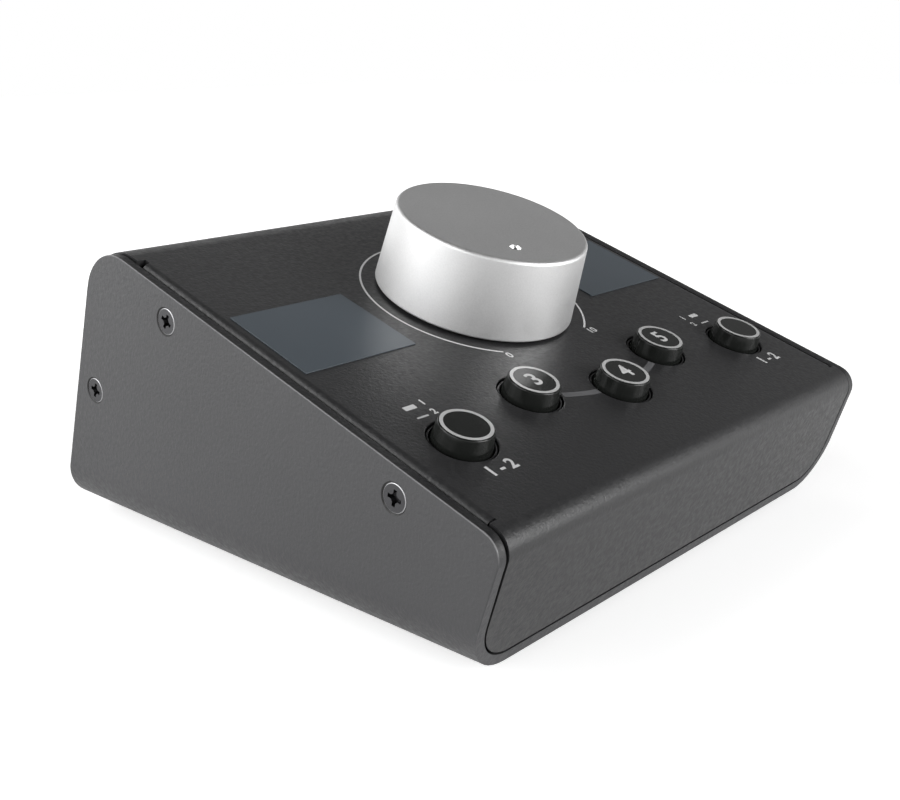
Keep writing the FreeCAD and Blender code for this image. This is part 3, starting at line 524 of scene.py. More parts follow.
knob = drum("volume_knob_shell", KNOB["foot_radius"], KNOB["foot"], KNOB["top"], vertices=192)
select_end(knob)
taper(KNOB["top_radius"] / KNOB["foot_radius"], KNOB["top"])
select_end(knob, up=False)
inset(KNOB["foot_radius"] - KNOB["bore"])
extrude(KNOB["ceiling"] - KNOB["foot"])
print("knob's top is", round(KNOB["top"] - KNOB["ceiling"], 2), "mm thick")


# %% Knob: soft rim and foot
def on_ring(height, least):
    """Whether an edge lies on a ring at a height, further out than least."""
    def test(a, b):
        level = abs(a.z - height * MM) < TOUCH and abs(b.z - height * MM) < TOUCH
        return level and min(a.xy.length, b.xy.length) > least * MM
    return test


bpy.ops.mesh.select_mode(type="EDGE")
rim = select_edges(knob, on_ring(KNOB["top"], least=23))
bevel(KNOB["rim_round"], 6)
foot = select_edges(knob, on_ring(KNOB["foot"], least=25))
bevel(KNOB["foot_round"], 4)
mode("OBJECT")
print("knob rim and foot edges", rim, foot)

# %% Knob: drill the pointer dimple
DIMPLE = {"radius": 15.7, "angle": 28.0, "ball": 1.42, "depth": 1.2}

turn = math.radians(DIMPLE["angle"])
ball_middle = Vector((-DIMPLE["radius"] * math.sin(turn), -DIMPLE["radius"] * math.cos(turn),
                      KNOB["top"] + DIMPLE["ball"] - DIMPLE["depth"]))
bpy.ops.mesh.primitive_uv_sphere_add(
    segments=64, ring_count=32, radius=DIMPLE["ball"] * MM, location=ball_middle * MM)
drill = bpy.context.active_object
modify(knob, "BOOLEAN", "dimple", object=drill, operation="DIFFERENCE")
bpy.data.objects.remove(drill)
smooth(knob)
settle(knob, 0, KNOB_ALONG, 0)
print("knob", len(knob.data.polygons), "faces")

# %% [markdown]
# ## Satin aluminium
# The knob is bead-blasted and anodised, so it has no turning lines: it is a metal with a fine, even sparkle.
# The blasting scatters light evenly, which a noise in the roughness and a very shallow bump gives. The
# dimple is cut after blasting, so it is brighter and smoother. It could be a material of its own, but a mask
# that is 1 inside the cutting ball keeps the knob one piece with one finish.

# %% Knob finish
knob_satin = grained("knob_satin_aluminium", (0.61, 0.61, 0.61), (0.89, 0.89, 0.89), (0.47, 0.61), bump=0.5,
                     metallic=1.0, sizes=(3000.0, 2600.0, 30.0))
finish_piece(knob, "volume", "knob_aluminium", knob_satin, "volume_knob")

# %% The bright cut of the dimple
knob_tree, knob_shader, knob_place = parts_of(knob_satin)
reach = add(knob_tree, "ShaderNodeVectorMath", "from the ball", {
    0: knob_place, 1: PANEL @ ((ball_middle + Vector((0, KNOB_ALONG, 0))) * MM)}, operation="DISTANCE")
inside_ball = calculate(knob_tree, "LESS_THAN", "in the cut", reach.outputs["Value"],
                        (DIMPLE["ball"] + 0.02) * MM)
swap_where(knob_satin, inside_ball, colour=(0.9, 0.9, 0.9), rough=0.27)
print("dimple", round(2 * DIMPLE["ball"], 2), "mm across")

# %% [markdown]
# ## Push buttons
# Five moulded caps, all alike: a skirt that runs in a guide ring, a waist, and a face with a soft rim. Under
# the face is a boss with a socket for the switch's plunger. We model one from a cylinder by extruding and
# insetting, then copy it, each copy with its own mesh.

# %% One cap about the origin
CAP = {"skirt": 6.6, "waist": 6.5, "face": 5.95, "low": -3.0, "top": 3.7, "wall": 1.3, "boss": 3.3,
       "boss_low": -2.0, "socket": 2.15, "socket_depth": 3.0, "rim_round": 0.35, "skirt_round": 0.2}

cap = drum("cap_pattern", CAP["skirt"], CAP["low"], 0, vertices=96)
select_end(cap)
taper(CAP["waist"] / CAP["skirt"], 0)
extrude(CAP["top"])
taper(CAP["face"] / CAP["waist"], CAP["top"])
select_end(cap, up=False)
inset(CAP["wall"])
ceiling = CAP["top"] - CAP["wall"]
extrude(ceiling - CAP["low"])
inset(CAP["skirt"] - CAP["wall"] - CAP["boss"])
extrude(CAP["boss_low"] - ceiling)
inset(CAP["boss"] - CAP["socket"])
extrude(CAP["socket_depth"])
print("cap is hollow up to", round(ceiling, 2), "mm")

# %% Round its rim and its skirt
bpy.ops.mesh.select_mode(type="EDGE")
select_edges(cap, on_ring(CAP["top"], least=5.5))
bevel(CAP["rim_round"], 4)
select_edges(cap, on_ring(CAP["low"], least=6.4))
bevel(CAP["skirt_round"], 2)
mode("OBJECT")
smooth(cap)
print("cap", len(cap.data.polygons), "faces")


# %% Five caps in gloss plastic
def duplicate(pattern, name):
    """A copy of a pattern piece, with its own mesh."""
    copy = pattern.copy()
    copy.data = pattern.data.copy()
    bpy.context.scene.collection.objects.link(copy)
    return rename(copy, name)


cap_gloss = grained("cap_gloss_plastic", (0.01, 0.011, 0.01), (0.014, 0.015, 0.014), (0.13, 0.17), bump=0.03,
                    bump_depth=0.00001, sizes=(1800.0, 300.0, 120.0), specular=0.28)
for button, (x, along) in BUTTONS.items():
    piece = settle(duplicate(cap, f"{button}_cap_face"), x, along, 0)
    finish_piece(piece, f"{button}_button", "cap_gloss", cap_gloss, f"{button}_cap")
bpy.data.objects.remove(cap)
print("caps on", ", ".join(BUTTONS))

# %% [markdown]
# ## Silver rings on the caps
# Each cap carries a bright ring, foil-printed just inside its rim. It is a flat band with a trace of
# thickness, so a circle is filled, inset and its middle deleted, and Solidify gives it its skin. A part of
# a ring is made the same way, and the faces outside its two angles are deleted as well.

# %% Ring pattern
def thicken(piece, thick):
    modify(piece, "SOLIDIFY", "thickness", thickness=thick * MM, offset=1)


def flat_band(name, inner, outer, thick, vertices=128, start=0.0, end=360.0):
    """A flat ring, or the part of one between two angles counted anticlockwise from +x."""
    nothing()
    bpy.ops.mesh.primitive_circle_add(vertices=vertices, radius=outer * MM, fill_type="NGON")
    band = named(name)
    mode("EDIT", "FACE")
    bpy.ops.mesh.select_all(action="SELECT")
    inset(outer - inner)
    bpy.ops.mesh.delete(type="FACE")
    if end - start < 360:
        middle = (start + end) / 2

        def outside(centre, normal):
            away = (math.degrees(math.atan2(centre.y, centre.x)) - middle + 180) % 360 - 180
            return abs(away) > (end - start) / 2

        select_faces(band, outside)
        bpy.ops.mesh.delete(type="FACE")
    mode("OBJECT")
    thicken(band, thick)
    return band


# %% Five rings
ring = flat_band("ring_pattern", 4.85, 5.62, 0.05)
ring_silver = grained("ring_silver_foil", (0.56, 0.56, 0.56), (0.68, 0.68, 0.68), (0.35, 0.5), bump=0.05,
                      metallic=0.35, sizes=(3000.0, 1500.0, 200.0))
for button, (x, along) in BUTTONS.items():
    piece = settle(duplicate(ring, f"{button}_cap_ring"), x, along, CAP["top"])
    finish_piece(piece, f"{button}_button", "cap_gloss", ring_silver)
bpy.data.objects.remove(ring)
print("five rings")

# %% [markdown]
# ## Printed marks on the panel
# The panel is screen-printed in pale grey: a scale circle round the knob, open at the front, a broad arc that
# joins the three middle buttons, and small numbers. A texture could hold them, but ink stands a few
# hundredths of a millimetre proud, so the marks are real thin pieces. They also stay crisp in any view.

# %% Ink
INK = 0.03
ink = grained("panel_ink", (0.57, 0.57, 0.57), (0.66, 0.66, 0.66), (0.45, 0.6), bump=0.08,
              sizes=(2600.0, 900.0, 60.0))
dim_ink = grained("panel_ink_grey", (0.11, 0.11, 0.115), (0.14, 0.14, 0.145), (0.4, 0.55), bump=0.08,
                  sizes=(2600.0, 900.0, 60.0))


def printed(piece, x, along, finish=ink):
    """Lay a flat mark made about the origin onto the panel."""
    settle(piece, x, along, 0)
    return finish_piece(piece, "case", "cover_paint", finish)


print("ink stands", INK, "mm proud")

# %% The scale round the knob
SCALE = {"inner": 28.75, "outer": 29.25, "half_gap": 33.5}

scale_ring = flat_band("volume_scale", SCALE["inner"], SCALE["outer"], INK, vertices=360,
                       start=-90 + SCALE["half_gap"], end=270 - SCALE["half_gap"])
printed(scale_ring, 0, KNOB_ALONG)
print("scale open over", 2 * SCALE["half_gap"], "degrees")

# %% The arc through the middle buttons
ARC = {"radius": 47.6, "half_width": 0.85, "turn": 15.85, "half_angle": 6.3}

for name, middle in (("mute_arc_left", -90 - ARC["turn"]), ("mute_arc_right", -90 + ARC["turn"])):
    arc = flat_band(name, ARC["radius"] - ARC["half_width"], ARC["radius"] + ARC["half_width"], INK,
                    vertices=720, start=middle - ARC["half_angle"], end=middle + ARC["half_angle"])
    printed(arc, 0, KNOB_ALONG, dim_ink)
print("arc printed", ARC["radius"], "mm from the knob's middle")


# %% Numbers
def number_mark(name, text, size, bold):
    """A printed number: typed, given its thickness and turned into a mesh."""
    nothing()
    bpy.ops.object.text_add()
    mark = bpy.context.active_object
    mark.name = name
    mark.data.body = text
    mark.data.size = size * MM
    mark.data.align_x = "CENTER"
    mark.data.align_y = "CENTER"
    mark.data.extrude = INK / 2 * MM
    mark.data.offset = bold * MM
    mark.location.z = INK / 2 * MM
    bpy.ops.object.convert(target="MESH")
    mark = bpy.context.active_object
    mark.data.name = name
    only(mark)
    bake_place()
    return mark


for name, text, size, bold, x, along in (
        ("scale_low_number", "0", 3.0, 0.06, -15.5, 48.3),
        ("scale_high_number", "10", 3.0, 0.06, 16.7, 48.2),
        ("source_first_number", "1", 2.6, 0.08, -51.0, 42.2),
        ("source_second_number", "2", 2.6, 0.08, -51.2, 38.5),
        ("monitor_first_number", "1", 2.6, 0.08, 50.0, 42.0),
        ("monitor_second_number", "2", 2.6, 0.08, 50.0, 38.4),
        ("source_legend_top", "1 - 2", 4.4, 0.12, -53.7, 17.3),
        ("monitor_legend_top", "1 - 2", 4.4, 0.12, 53.7, 17.3)):
    printed(number_mark(name, text, size, bold), x, along)
print("numbers printed")


# %% Bars beside the select buttons
BAR = {"width": 3.3, "corner": 0.15}


def block(name, size, low, high):
    """A box about the Z axis between two heights, in millimetres, left in edit mode."""
    nothing()
    bpy.ops.mesh.primitive_cube_add(
        size=1, location=(0, 0, (high + low) / 2 * MM), scale=(size[0] * MM, size[1] * MM, (high - low) * MM))
    piece = named(name)
    bake_place()
    mode("EDIT", "EDGE")
    return piece


def bar_mark(name, height):
    """A printed bar whose four upright edges are rounded."""
    bar = block(name, (BAR["width"], height), 0, INK)
    select_edges(bar, lambda a, b: abs(a.z - b.z) > INK / 2 * MM)
    bevel(BAR["corner"], 3)
    mode("OBJECT")
    return bar


for name, height, x, along in (
        ("source_thick_bar", 1.4, -55.1, 41.8),
        ("source_thin_bar", 0.5, -55.0, 38.0),
        ("monitor_thick_bar", 1.4, 54.7, 41.7),
        ("monitor_thin_bar", 0.5, 54.6, 37.8)):
    printed(bar_mark(name, height), x, along)
print("bars printed")

# %% Numbers on the middle caps
for button, text in (("mono", "3"), ("mute", "4"), ("dim", "5")):
    mark = number_mark(f"{button}_cap_number", text, 6.3, 0.12)
    settle(mark, *BUTTONS[button], CAP["top"])
    finish_piece(mark, f"{button}_button", "cap_gloss", ink)
print("cap numbers printed")

# %% [markdown]
# ## Countersunk screws
# Six cross-recessed screws hold the cover between the walls, three a side. Their heads sit a hair below the
# paint and catch the light on the rim and in the cross. The CAD screws have the true cone and recess, so we
# only take the knife edge off them, draw each head into a low crown and give them dark plated steel. A
# lighter, smoother ring on each rim is a painted highlight, and the near-black countersink round each head is
# painted shade. A face attribute marks those rings, because a finish can then change there without a second
# material.

# %% Group: marks of handling on bare metal
wear_group, wear_in, wear_out = new_group(
    "handling_marks", {"Scratch size": 300.0, "Smudge size": 60.0}, ("Scratches", "Smudges"))
stretch = add(wear_group, "ShaderNodeMapping", "long and thin", {
    "Vector": wear_in["Place"], "Scale": (1.0, 14.0, 14.0), "Rotation": (0.3, 0.5, 0.7)})
for label, place, size, result, detail, roughness in (
        ("scratches", stretch.outputs["Vector"], "Scratch size", "Scratches", 3.0, 0.7),
        ("smudges", wear_in["Place"], "Smudge size", "Smudges", 4.0, 0.6)):
    noise = add(wear_group, "ShaderNodeTexNoise", label, {
        "Vector": place, "Scale": wear_in[size], "Detail": detail, "Roughness": roughness})
    feed(wear_group, wear_out, {result: noise.outputs["Fac"]})


def bare_metal(name, dark, light, rough):
    """Plated or machined metal: smudges shift its tone, scratches its roughness and a trace of relief."""
    finish, tree, shader, place = new_finish(name)
    group = use_group(tree, wear_group, {"Place": place})
    tone_by(tree, shader, group["Smudges"], dark, light)
    roughen_by(tree, shader, group["Scratches"], *rough)
    raise_by(tree, shader, group["Scratches"], 0.06, 0.00001)
    feed(tree, shader, {"Metallic": 1.0})
    return finish


# %% The metals
dark_steel = bare_metal("dark_screw_steel", (0.06, 0.06, 0.063), (0.1, 0.1, 0.104), (0.34, 0.5))
zinc_plate = bare_metal("zinc_plate", (0.5, 0.51, 0.53), (0.66, 0.67, 0.69), (0.22, 0.4))
nickel_plate = bare_metal("nickel_plate", (0.55, 0.53, 0.5), (0.7, 0.68, 0.65), (0.12, 0.26))
tinned_steel = bare_metal("tinned_steel", (0.45, 0.45, 0.46), (0.6, 0.6, 0.61), (0.25, 0.45))
turned_brass = bare_metal("turned_brass", (0.6, 0.44, 0.2), (0.76, 0.6, 0.32), (0.2, 0.36))
turned_aluminium = bare_metal("turned_aluminium", (0.66, 0.66, 0.67), (0.8, 0.8, 0.81), (0.25, 0.4))
tinned_brass = bare_metal("tinned_brass", (0.6, 0.56, 0.46), (0.74, 0.7, 0.6), (0.25, 0.4))
spring_wire = bare_metal("spring_wire", (0.42, 0.42, 0.43), (0.58, 0.58, 0.59), (0.2, 0.34))
print("group", wear_group.name, "in eight metals")

# %% Screws with a low crown
HEAD = {"radius": 3.1, "near": 0.2, "crown": 0.1}


def crown_heads(piece):
    """Draw the rim of each head's face in, so that a low crown runs round it."""
    mesh = bmesh.from_edit_mesh(piece.data)
    draw = 1 - HEAD["crown"] / HEAD["radius"]
    for centre in HEADS:
        for vert in mesh.verts:
            level = abs(vert.co.x - centre.x) < TOUCH
            vert.select_set(level and abs((vert.co - centre).length / MM - HEAD["radius"]) < HEAD["near"])
        bmesh.update_edit_mesh(piece.data)
        bpy.ops.transform.resize(value=(1, draw, draw), center_override=centre)


screws = eased("side_screws", "countersunk_screws", 0.04, shape=crown_heads)
finish_piece(screws, "case", "screw_steel", dark_steel, "side_screws")


# %% Painted highlight on the rims, painted shade in the countersinks
def mark_rings(piece, finish, name, inner, outer, depth):
    """A face attribute that is 1 in a ring round each screw, down to a depth, and its mask in a finish."""
    ring = piece.data.attributes.new(name, "FLOAT", "FACE")
    for face in piece.data.polygons:
        for head in HEADS:
            away = face.center - head
            if abs(away.x) < depth * MM and inner * MM < away.yz.length < outer * MM:
                ring.data[face.index].value = 1.0
    return add(finish.node_tree, "ShaderNodeAttribute", name, attribute_name=name,
               attribute_type="GEOMETRY").outputs["Fac"]


# The rim's lighter colour is a painted highlight; the countersink's near-black colour is painted shade.
rim_painted_highlight = mark_rings(screws, dark_steel, "rim", inner=2.85, outer=3.15, depth=0.12)
swap_where(dark_steel, rim_painted_highlight, colour=(0.4, 0.4, 0.41), rough=0.3)
countersink_painted_shade = mark_rings(case_shell, case_coat, "countersink", inner=1.0, outer=3.4, depth=2.4)
swap_where(case_coat, countersink_painted_shade, colour=(0.004, 0.004, 0.004))
print("rims and countersinks marked")

# %% [markdown]
# ## Return springs
# Each button sits on a small coil spring. A node of the CAD model can't change shape, which is why
# each spring gets a copy.

for button, (x, along) in BUTTONS.items():
    coil = eased(f"{button}_spring", f"{button}_coil", 0)
    finish_piece(coil, "case", "spring_steel", spring_wire, f"{button}_spring")
    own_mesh(coil)

# %% [markdown]
# ## Jack sockets
# Quarter-inch sockets share one shape: a moulded box with a threaded nose that passes through the back panel
# and takes a nut. One is built about the origin with its nose along +Z. The nose starts as a cylinder and
# grows by extruding and shrinking rings, which makes the thread's crests and roots, then it is joined to
# the box and bored. A screw modifier would make a true helix, but rings look the same at this size and stay
# light. Eight copies go to their places.

# %% Socket housing
JACK = {"width": 15.0, "height": 14.0, "corner": 0.4, "face": -1.5, "back": -27.5, "nose_low": -3.0,
        "thread_low": 2.9, "crest": 4.75, "root": 4.45, "mouth": 5.5, "lead_in": 0.5, "flare": 1.3,
        "bore": 3.25, "bore_end": -25.9}
SOCKETS = {
    "source_a_left": (-51.0, 28.0), "source_a_right": (-51.0, 53.0),
    "source_b_left": (-20.0, 28.0), "source_b_right": (-20.0, 53.0),
    "monitor_a_left": (20.0, 28.0), "monitor_a_right": (20.0, 53.0),
    "monitor_b_left": (51.0, 28.0), "monitor_b_right": (51.0, 53.0),
}
BACK = 133.4

socket = block("socket_pattern", (JACK["width"], JACK["height"]), JACK["back"], JACK["face"])
edges = select_edges(socket, lambda a, b: min(a.z, b.z) < JACK["face"] * MM - TOUCH)
bevel(JACK["corner"], 2)
mode("OBJECT")
print("housing", edges, "edges rounded, all but those of its face")

# %% Thread: rings that swell and shrink
THREAD = {"flank": 0.3, "flat": 0.1}

nose = drum("socket_nose", JACK["crest"], JACK["nose_low"], JACK["thread_low"], vertices=72)
select_end(nose)
height, width = JACK["thread_low"], JACK["crest"]
steps = [(part, ring) for ring in ("root", "crest", "root", "crest", "root") for part in THREAD]
for part, ring in (*steps, ("flank", "crest")):
    height += THREAD[part]
    extrude(THREAD[part])
    taper(JACK[ring] / width, height)
    width = JACK[ring]
extrude(JACK["mouth"] - height)
taper(JACK["root"] / width, JACK["mouth"])
mode("OBJECT")
print("nose ends at", JACK["mouth"], "mm, last ring at", round(height, 2))

# %% Bore with an eased mouth
bore = drum("socket_bore", JACK["bore"], JACK["bore_end"], JACK["mouth"] - JACK["lead_in"], vertices=64)
select_end(bore)
extrude(2 * JACK["lead_in"])
taper(JACK["flare"], 0)
mode("OBJECT")
for tool, operation in ((nose, "UNION"), (bore, "DIFFERENCE")):
    modify(socket, "BOOLEAN", operation.lower(), object=tool, operation=operation)
    bpy.data.objects.remove(tool)
smooth(socket)
print("socket", len(socket.data.polygons), "faces")

# %% Eight sockets
jack_nylon = grained("jack_nylon", (0.012, 0.012, 0.013), (0.022, 0.022, 0.024), (0.4, 0.6), bump=0.2,
                     sizes=(1500.0, 500.0, 60.0))


def to_back(piece, x, drop):
    """Turn a piece made about the origin so that its +Z points out of the back, and move it there."""
    turned = Matrix(((-1, 0, 0, 0), (0, 0, 1, 0), (0, 1, 0, 0), (0, 0, 0, 1)))
    piece.matrix_world = turned @ piece.matrix_world
    return settle(piece, x, BACK, -drop)


for name, (x, drop) in SOCKETS.items():
    jack = to_back(duplicate(socket, f"{name}_socket"), x, drop)
    finish_piece(jack, "case", "jack_plastic", jack_nylon, f"{name}_jack")
bpy.data.objects.remove(socket)
print(len(SOCKETS), "sockets")

# %% Nuts, washers and feet with eased edges
foot_rubber = grained("foot_rubber", (0.012, 0.012, 0.012), (0.022, 0.022, 0.022), (0.7, 0.9), bump=0.3,
                      sizes=(1600.0, 500.0, 40.0), specular=0.3)
for node, name, slot, finish, radius in (
        ("jack_nuts", "socket_nuts", "jack_nut_chrome", nickel_plate, 0.25),
        ("jack_washers", "socket_washers", "jack_nut_chrome", nickel_plate, 0.1),
        ("rubber_feet", "case_feet", "foot_rubber", foot_rubber, 0.3)):
    finish_piece(eased(node, name, radius), "case", slot, finish, node)

# %% [markdown]
# ## Marks on the back
# The back is printed in the same pale ink: a thin frame round each pair of columns and a plain number over
# each column, matching the numbers beside the select buttons in front. A frame could be four bars, but one
# plane whose middle is inset and deleted has clean corners.

# %% Frames and numbers on the back
FRAME = {"width": 56.0, "height": 45.5, "line": 0.4, "drop": 43.2}
NUMBER = {"size": 3.4, "bold": 0.03, "drop": 17.6}


def frame_mark(name):
    """A thin rectangular outline."""
    nothing()
    bpy.ops.mesh.primitive_plane_add(size=1)
    outline = named(name)
    outline.scale = (FRAME["width"] * MM, FRAME["height"] * MM, 1)
    bake_place()
    mode("EDIT")
    bpy.ops.mesh.select_all(action="SELECT")
    inset(FRAME["line"])
    bpy.ops.mesh.delete(type="FACE")
    mode("OBJECT")
    thicken(outline, INK)
    return outline


for name, x in (("source_frame", -35.5), ("monitor_frame", 35.5)):
    finish_piece(to_back(frame_mark(name), x, FRAME["drop"]), "case", "cover_paint", ink)
for name, text, x in (
        ("source_one_back", "1", -51.0), ("source_two_back", "2", -20.0),
        ("monitor_one_back", "1", 20.0), ("monitor_two_back", "2", 51.0)):
    mark = to_back(number_mark(name, text, NUMBER["size"], NUMBER["bold"]), x, NUMBER["drop"])
    finish_piece(mark, "case", "cover_paint", ink)
print("back printed")

# %% [markdown]
# ## Label plates
# Two thin blank plates flank the knob. They are satin film with a blue-grey tone, set on the paint. A patch
# of colour in the cover's finish would be simpler, but a real plate has an edge of its own that takes the
# light.

# %% Label plates
plate_film = grained("blank_plate_film", (0.056, 0.07, 0.084), (0.068, 0.083, 0.097), (0.3, 0.34), bump=0.02,
                     sizes=(900.0, 120.0, 25.0))
for side in ("left", "right"):
    plate = eased(f"{side}_label_plate", f"{side}_blank_plate", 0.06)
    finish_piece(plate, "case", "plate_film", plate_film, f"{side}_label_plate")

# %% [markdown]
# ## Plastic inside
# Out of sight the controller is moulded plastic, two green circuit boards and a flat cable. Someone who
# takes the cover off, or looks at one piece by itself, should still find real finishes, so each CAD
# piece gets one.

# %% Moulded plastics
black_moulding = grained("black_moulding", (0.014, 0.014, 0.015), (0.024, 0.024, 0.025), (0.4, 0.6), bump=0.2,
                         sizes=(2000.0, 700.0, 60.0))
white_acetal = grained("white_acetal", (0.7, 0.7, 0.67), (0.78, 0.78, 0.76), (0.35, 0.5), bump=0.08,
                       sizes=(1200.0, 500.0, 80.0))
print("two plastics")

# %% Group: woven glass under a board's mask
weave_group, weave_in, weave_out = new_group("glass_weave", {"Pitch": 400.0}, ("Weave",))
threads = [
    add(weave_group, "ShaderNodeTexWave", label, {"Vector": weave_in["Place"], "Scale": weave_in["Pitch"]},
        wave_type="BANDS", bands_direction=direction).outputs["Fac"]
    for label, direction in (("warp", "X"), ("weft", "Y"))]
feed(weave_group, weave_out, {"Weave": calculate(weave_group, "MULTIPLY", "woven", *threads)})


def laminate(name, turn):
    """A glass-fibre board whose weave lies in its own plane, turned by an angle about x."""
    finish, tree, shader, place = new_finish(name)
    level = add(tree, "ShaderNodeMapping", "board plane", {"Vector": place, "Rotation": (turn, 0, 0)})
    woven = use_group(tree, weave_group, {"Place": level.outputs["Vector"]})["Weave"]
    patches = use_group(tree, grain_group, {"Place": place})["Drift"]
    blend = calculate(tree, "MULTIPLY_ADD", "weave over drift", woven, 0.6, patches)
    tone_by(tree, shader, blend, (0.01, 0.07, 0.025), (0.02, 0.13, 0.045))
    raise_by(tree, shader, woven, 0.15, 0.00003)
    feed(tree, shader, {"Roughness": 0.28})
    return finish


control_laminate = laminate("control_board_laminate", -slope)
jack_laminate = laminate("jack_board_laminate", math.pi / 2 - slope)
print("group", weave_group.name, "on two boards")

# %% Flat cable: one ridge for each wire
RIBBON = {"pitch": 1.27, "edge_wire": -5.1}
BAND = 2 * math.pi / 20  # how far apart the bands of a wave texture are at scale 1


def ribbon_finish(name):
    """Ridged grey vinyl, with a red stripe along the edge wire."""
    finish, tree, shader, place = new_finish(name)
    wires = add(tree, "ShaderNodeTexWave", "wires", {"Vector": place, "Scale": BAND / (RIBBON["pitch"] * MM)},
                wave_type="BANDS", bands_direction="X").outputs["Fac"]
    across = add(tree, "ShaderNodeSeparateXYZ", "across", {"Vector": place}).outputs["X"]
    edge_wire = calculate(tree, "LESS_THAN", "edge wire", across, RIBBON["edge_wire"] * MM)
    vinyl = mixed(tree, "vinyl", wires, (0.2, 0.2, 0.21, 1), (0.34, 0.34, 0.35, 1))
    feed(tree, shader, {"Base Color": mixed(tree, "stripe", edge_wire, vinyl, (0.4, 0.03, 0.03, 1))})
    raise_by(tree, shader, wires, 0.6, 0.0003)
    feed(tree, shader, {"Roughness": 0.45})
    return finish


ribbon_vinyl = ribbon_finish("ribbon_vinyl")
print("a ridge every", RIBBON["pitch"], "mm")

# %% Finishes for the CAD pieces that stay
inside = {
    "clinch_nuts": zinc_plate, "board_standoffs": zinc_plate, "board_screws": zinc_plate,
    "pot_washer": zinc_plate, "pot_nut": zinc_plate, "pot_housing": tinned_steel,
    "pot_bushing": turned_brass, "pot_shaft": turned_aluminium, "pot_pins": tinned_brass,
    "knob_core": black_moulding, "control_header": black_moulding, "jack_header": black_moulding,
    "control_board": control_laminate, "jack_board": jack_laminate, "ribbon_cable": ribbon_vinyl,
}
for button in BUTTONS:
    inside[f"{button}_switch"] = black_moulding
    inside[f"{button}_collar"] = black_moulding
    inside[f"{button}_plunger"] = white_acetal
for node, finish in inside.items():
    slots = frame["nodes"][node].data.materials
    slots.clear()
    slots.append(finish)
print(len(inside), "CAD pieces refinished")

# %% [markdown]
# ## Studio
# A product shot on white: a pale floor that runs into a white surround, soft boxes low all round, so that the
# walls and the turned knob are bright, helped on the walls by their painted lighter tone, and little light
# from above, so that the black top keeps its depth. A small high box draws the bright lines along the rolled
# edges, helped on the side walls' outer corners by a painted highlight. Only the camera sees the pure white.

# %% Floor
nothing()
bpy.ops.mesh.primitive_plane_add(size=6.0, location=(0, 0, -0.0002))
floor = named("studio_floor")
floor_paint, tree, shader, place = new_finish("floor_paint")
mottle = use_group(tree, grain_group, {"Place": place, "Drift": 3.0})
tone_by(tree, shader, mottle["Drift"], (0.8, 0.8, 0.8), (0.84, 0.84, 0.84))
ray = add(tree, "ShaderNodeLightPath", "who looks").outputs
seen = calculate(tree, "MAXIMUM", "camera or glass", ray["Is Camera Ray"], ray["Is Transmission Ray"])
away = add(tree, "ShaderNodeVectorMath", "from the object", {0: place}, operation="LENGTH")
glow = add(tree, "ShaderNodeMapRange", "fade into the surround", {
    "Value": away.outputs["Value"], "From Min": 0.15, "From Max": 0.9, "To Min": 0.6, "To Max": 1.0},
    interpolation_type="SMOOTHSTEP")
lift = calculate(tree, "MULTIPLY", "lift to white", seen, glow.outputs["Result"])
shine = calculate(tree, "MULTIPLY_ADD", "paler in metal", ray["Is Glossy Ray"], 0.28, lift)
feed(tree, shader, {"Roughness": 0.9, "Specular IOR Level": 0.1, "Emission Color": (1, 1, 1, 1),
                    "Emission Strength": shine})
floor.data.materials.append(floor_paint)
print("floor laid")

# %% World: white for the camera, a soft tent of light for the object
TENT = ((0.0, 0.5), (0.2, 0.5), (0.3, 0.25), (0.6, 0.25), (0.7, 0.03), (1.0, 0.03))

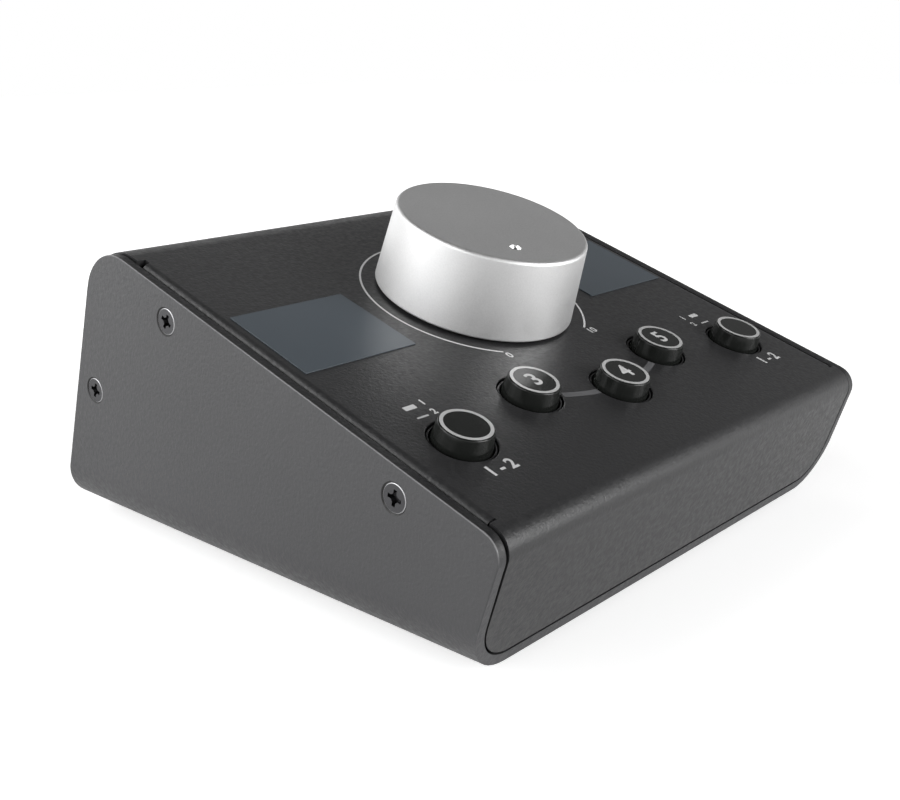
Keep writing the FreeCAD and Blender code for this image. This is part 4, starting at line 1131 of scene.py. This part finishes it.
world = bpy.data.worlds.new("light_tent")
world.use_nodes = True
bpy.context.scene.world = world
sky = world.node_tree
sky.nodes.clear()
way = add(sky, "ShaderNodeTexCoord", "which way").outputs["Generated"]
parts = add(sky, "ShaderNodeSeparateXYZ", "how high", {"Vector": way})
fall = add(sky, "ShaderNodeValToRGB", "fall of light", {"Fac": parts.outputs["Z"]})
stops = fall.color_ramp.elements
for height, level in TENT:
    ends = {0.0: stops[0], 1.0: stops[-1]}
    stop = ends[height] if height in ends else stops.new(height)
    stop.color = (level, level, level, 1)
tent = add(sky, "ShaderNodeBackground", "tent", {"Color": fall.outputs["Color"]})
white = add(sky, "ShaderNodeBackground", "white", {"Color": (1, 1, 1, 1)})
who = add(sky, "ShaderNodeLightPath", "who looks").outputs["Is Camera Ray"]
choose = add(sky, "ShaderNodeMixShader", "choose", {
    0: who, 1: tent.outputs["Background"], 2: white.outputs["Background"]})
add(sky, "ShaderNodeOutputWorld", "", {"Surface": choose.outputs["Shader"]})
print("tent", TENT)

# %% Soft boxes
AIM = Vector((0, 0, 0.04))

for name, spot, size, watts in (
        ("left_box", (-1.1, 0.15, 0.3), 1.25, 11.4),
        ("back_left_box", (-0.85, 0.85, 0.35), 0.85, 4.6),
        ("back_box", (0.1, 1.2, 0.45), 0.9, 3.5),
        ("front_right_box", (0.45, -1.15, 0.3), 0.9, 16.9),
        ("edge_box", (-0.65, 0.5, 0.95), 0.5, 2.6),
        ("rear_box", (0.7, 0.8, 0.6), 0.4, 0.2)):
    lamp = bpy.data.lights.new(name, "AREA")
    lamp.size = size
    lamp.energy = watts
    stand = bpy.data.objects.new(name, lamp)
    bpy.context.scene.collection.objects.link(stand)
    stand.location = spot
    stand.rotation_euler = (AIM - Vector(spot)).to_track_quat("-Z", "Y").to_euler()
print("soft boxes placed")

# %% [markdown]
# ## Camera
# A short telephoto look, a little above the table and off the left front corner, close enough for the near
# corner to loom. A camera can be aimed by a constraint, but three plain axes say exactly how it stands.

# %% Camera
shot = bpy.data.cameras.new("studio_camera")
shot.lens = 47.07
shot.sensor_width = 36.0
shot.sensor_fit = "HORIZONTAL"
shot.shift_x = 0.0095
shot.shift_y = -0.0484
shot.clip_start = 0.01
camera = bpy.data.objects.new("studio_camera", shot)
bpy.context.scene.collection.objects.link(camera)
backward = Vector((-0.7087, -0.6584, 0.2535)).normalized()
sideways = Vector((0.6777, -0.7352, -0.0152))
sideways = (sideways - backward * sideways.dot(backward)).normalized()
upward = backward.cross(sideways)
turn_to = Matrix((sideways, upward, backward)).transposed().to_4x4()
camera.matrix_world = Matrix.Translation((-0.21896, -0.19735, 0.11729)) @ turn_to
bpy.context.scene.camera = camera
bpy.context.scene.view_settings.view_transform = "Standard"
print("camera", round(camera.location.length, 3), "m from the origin")

# %% Bring the scene up to date
bpy.context.view_layer.update()
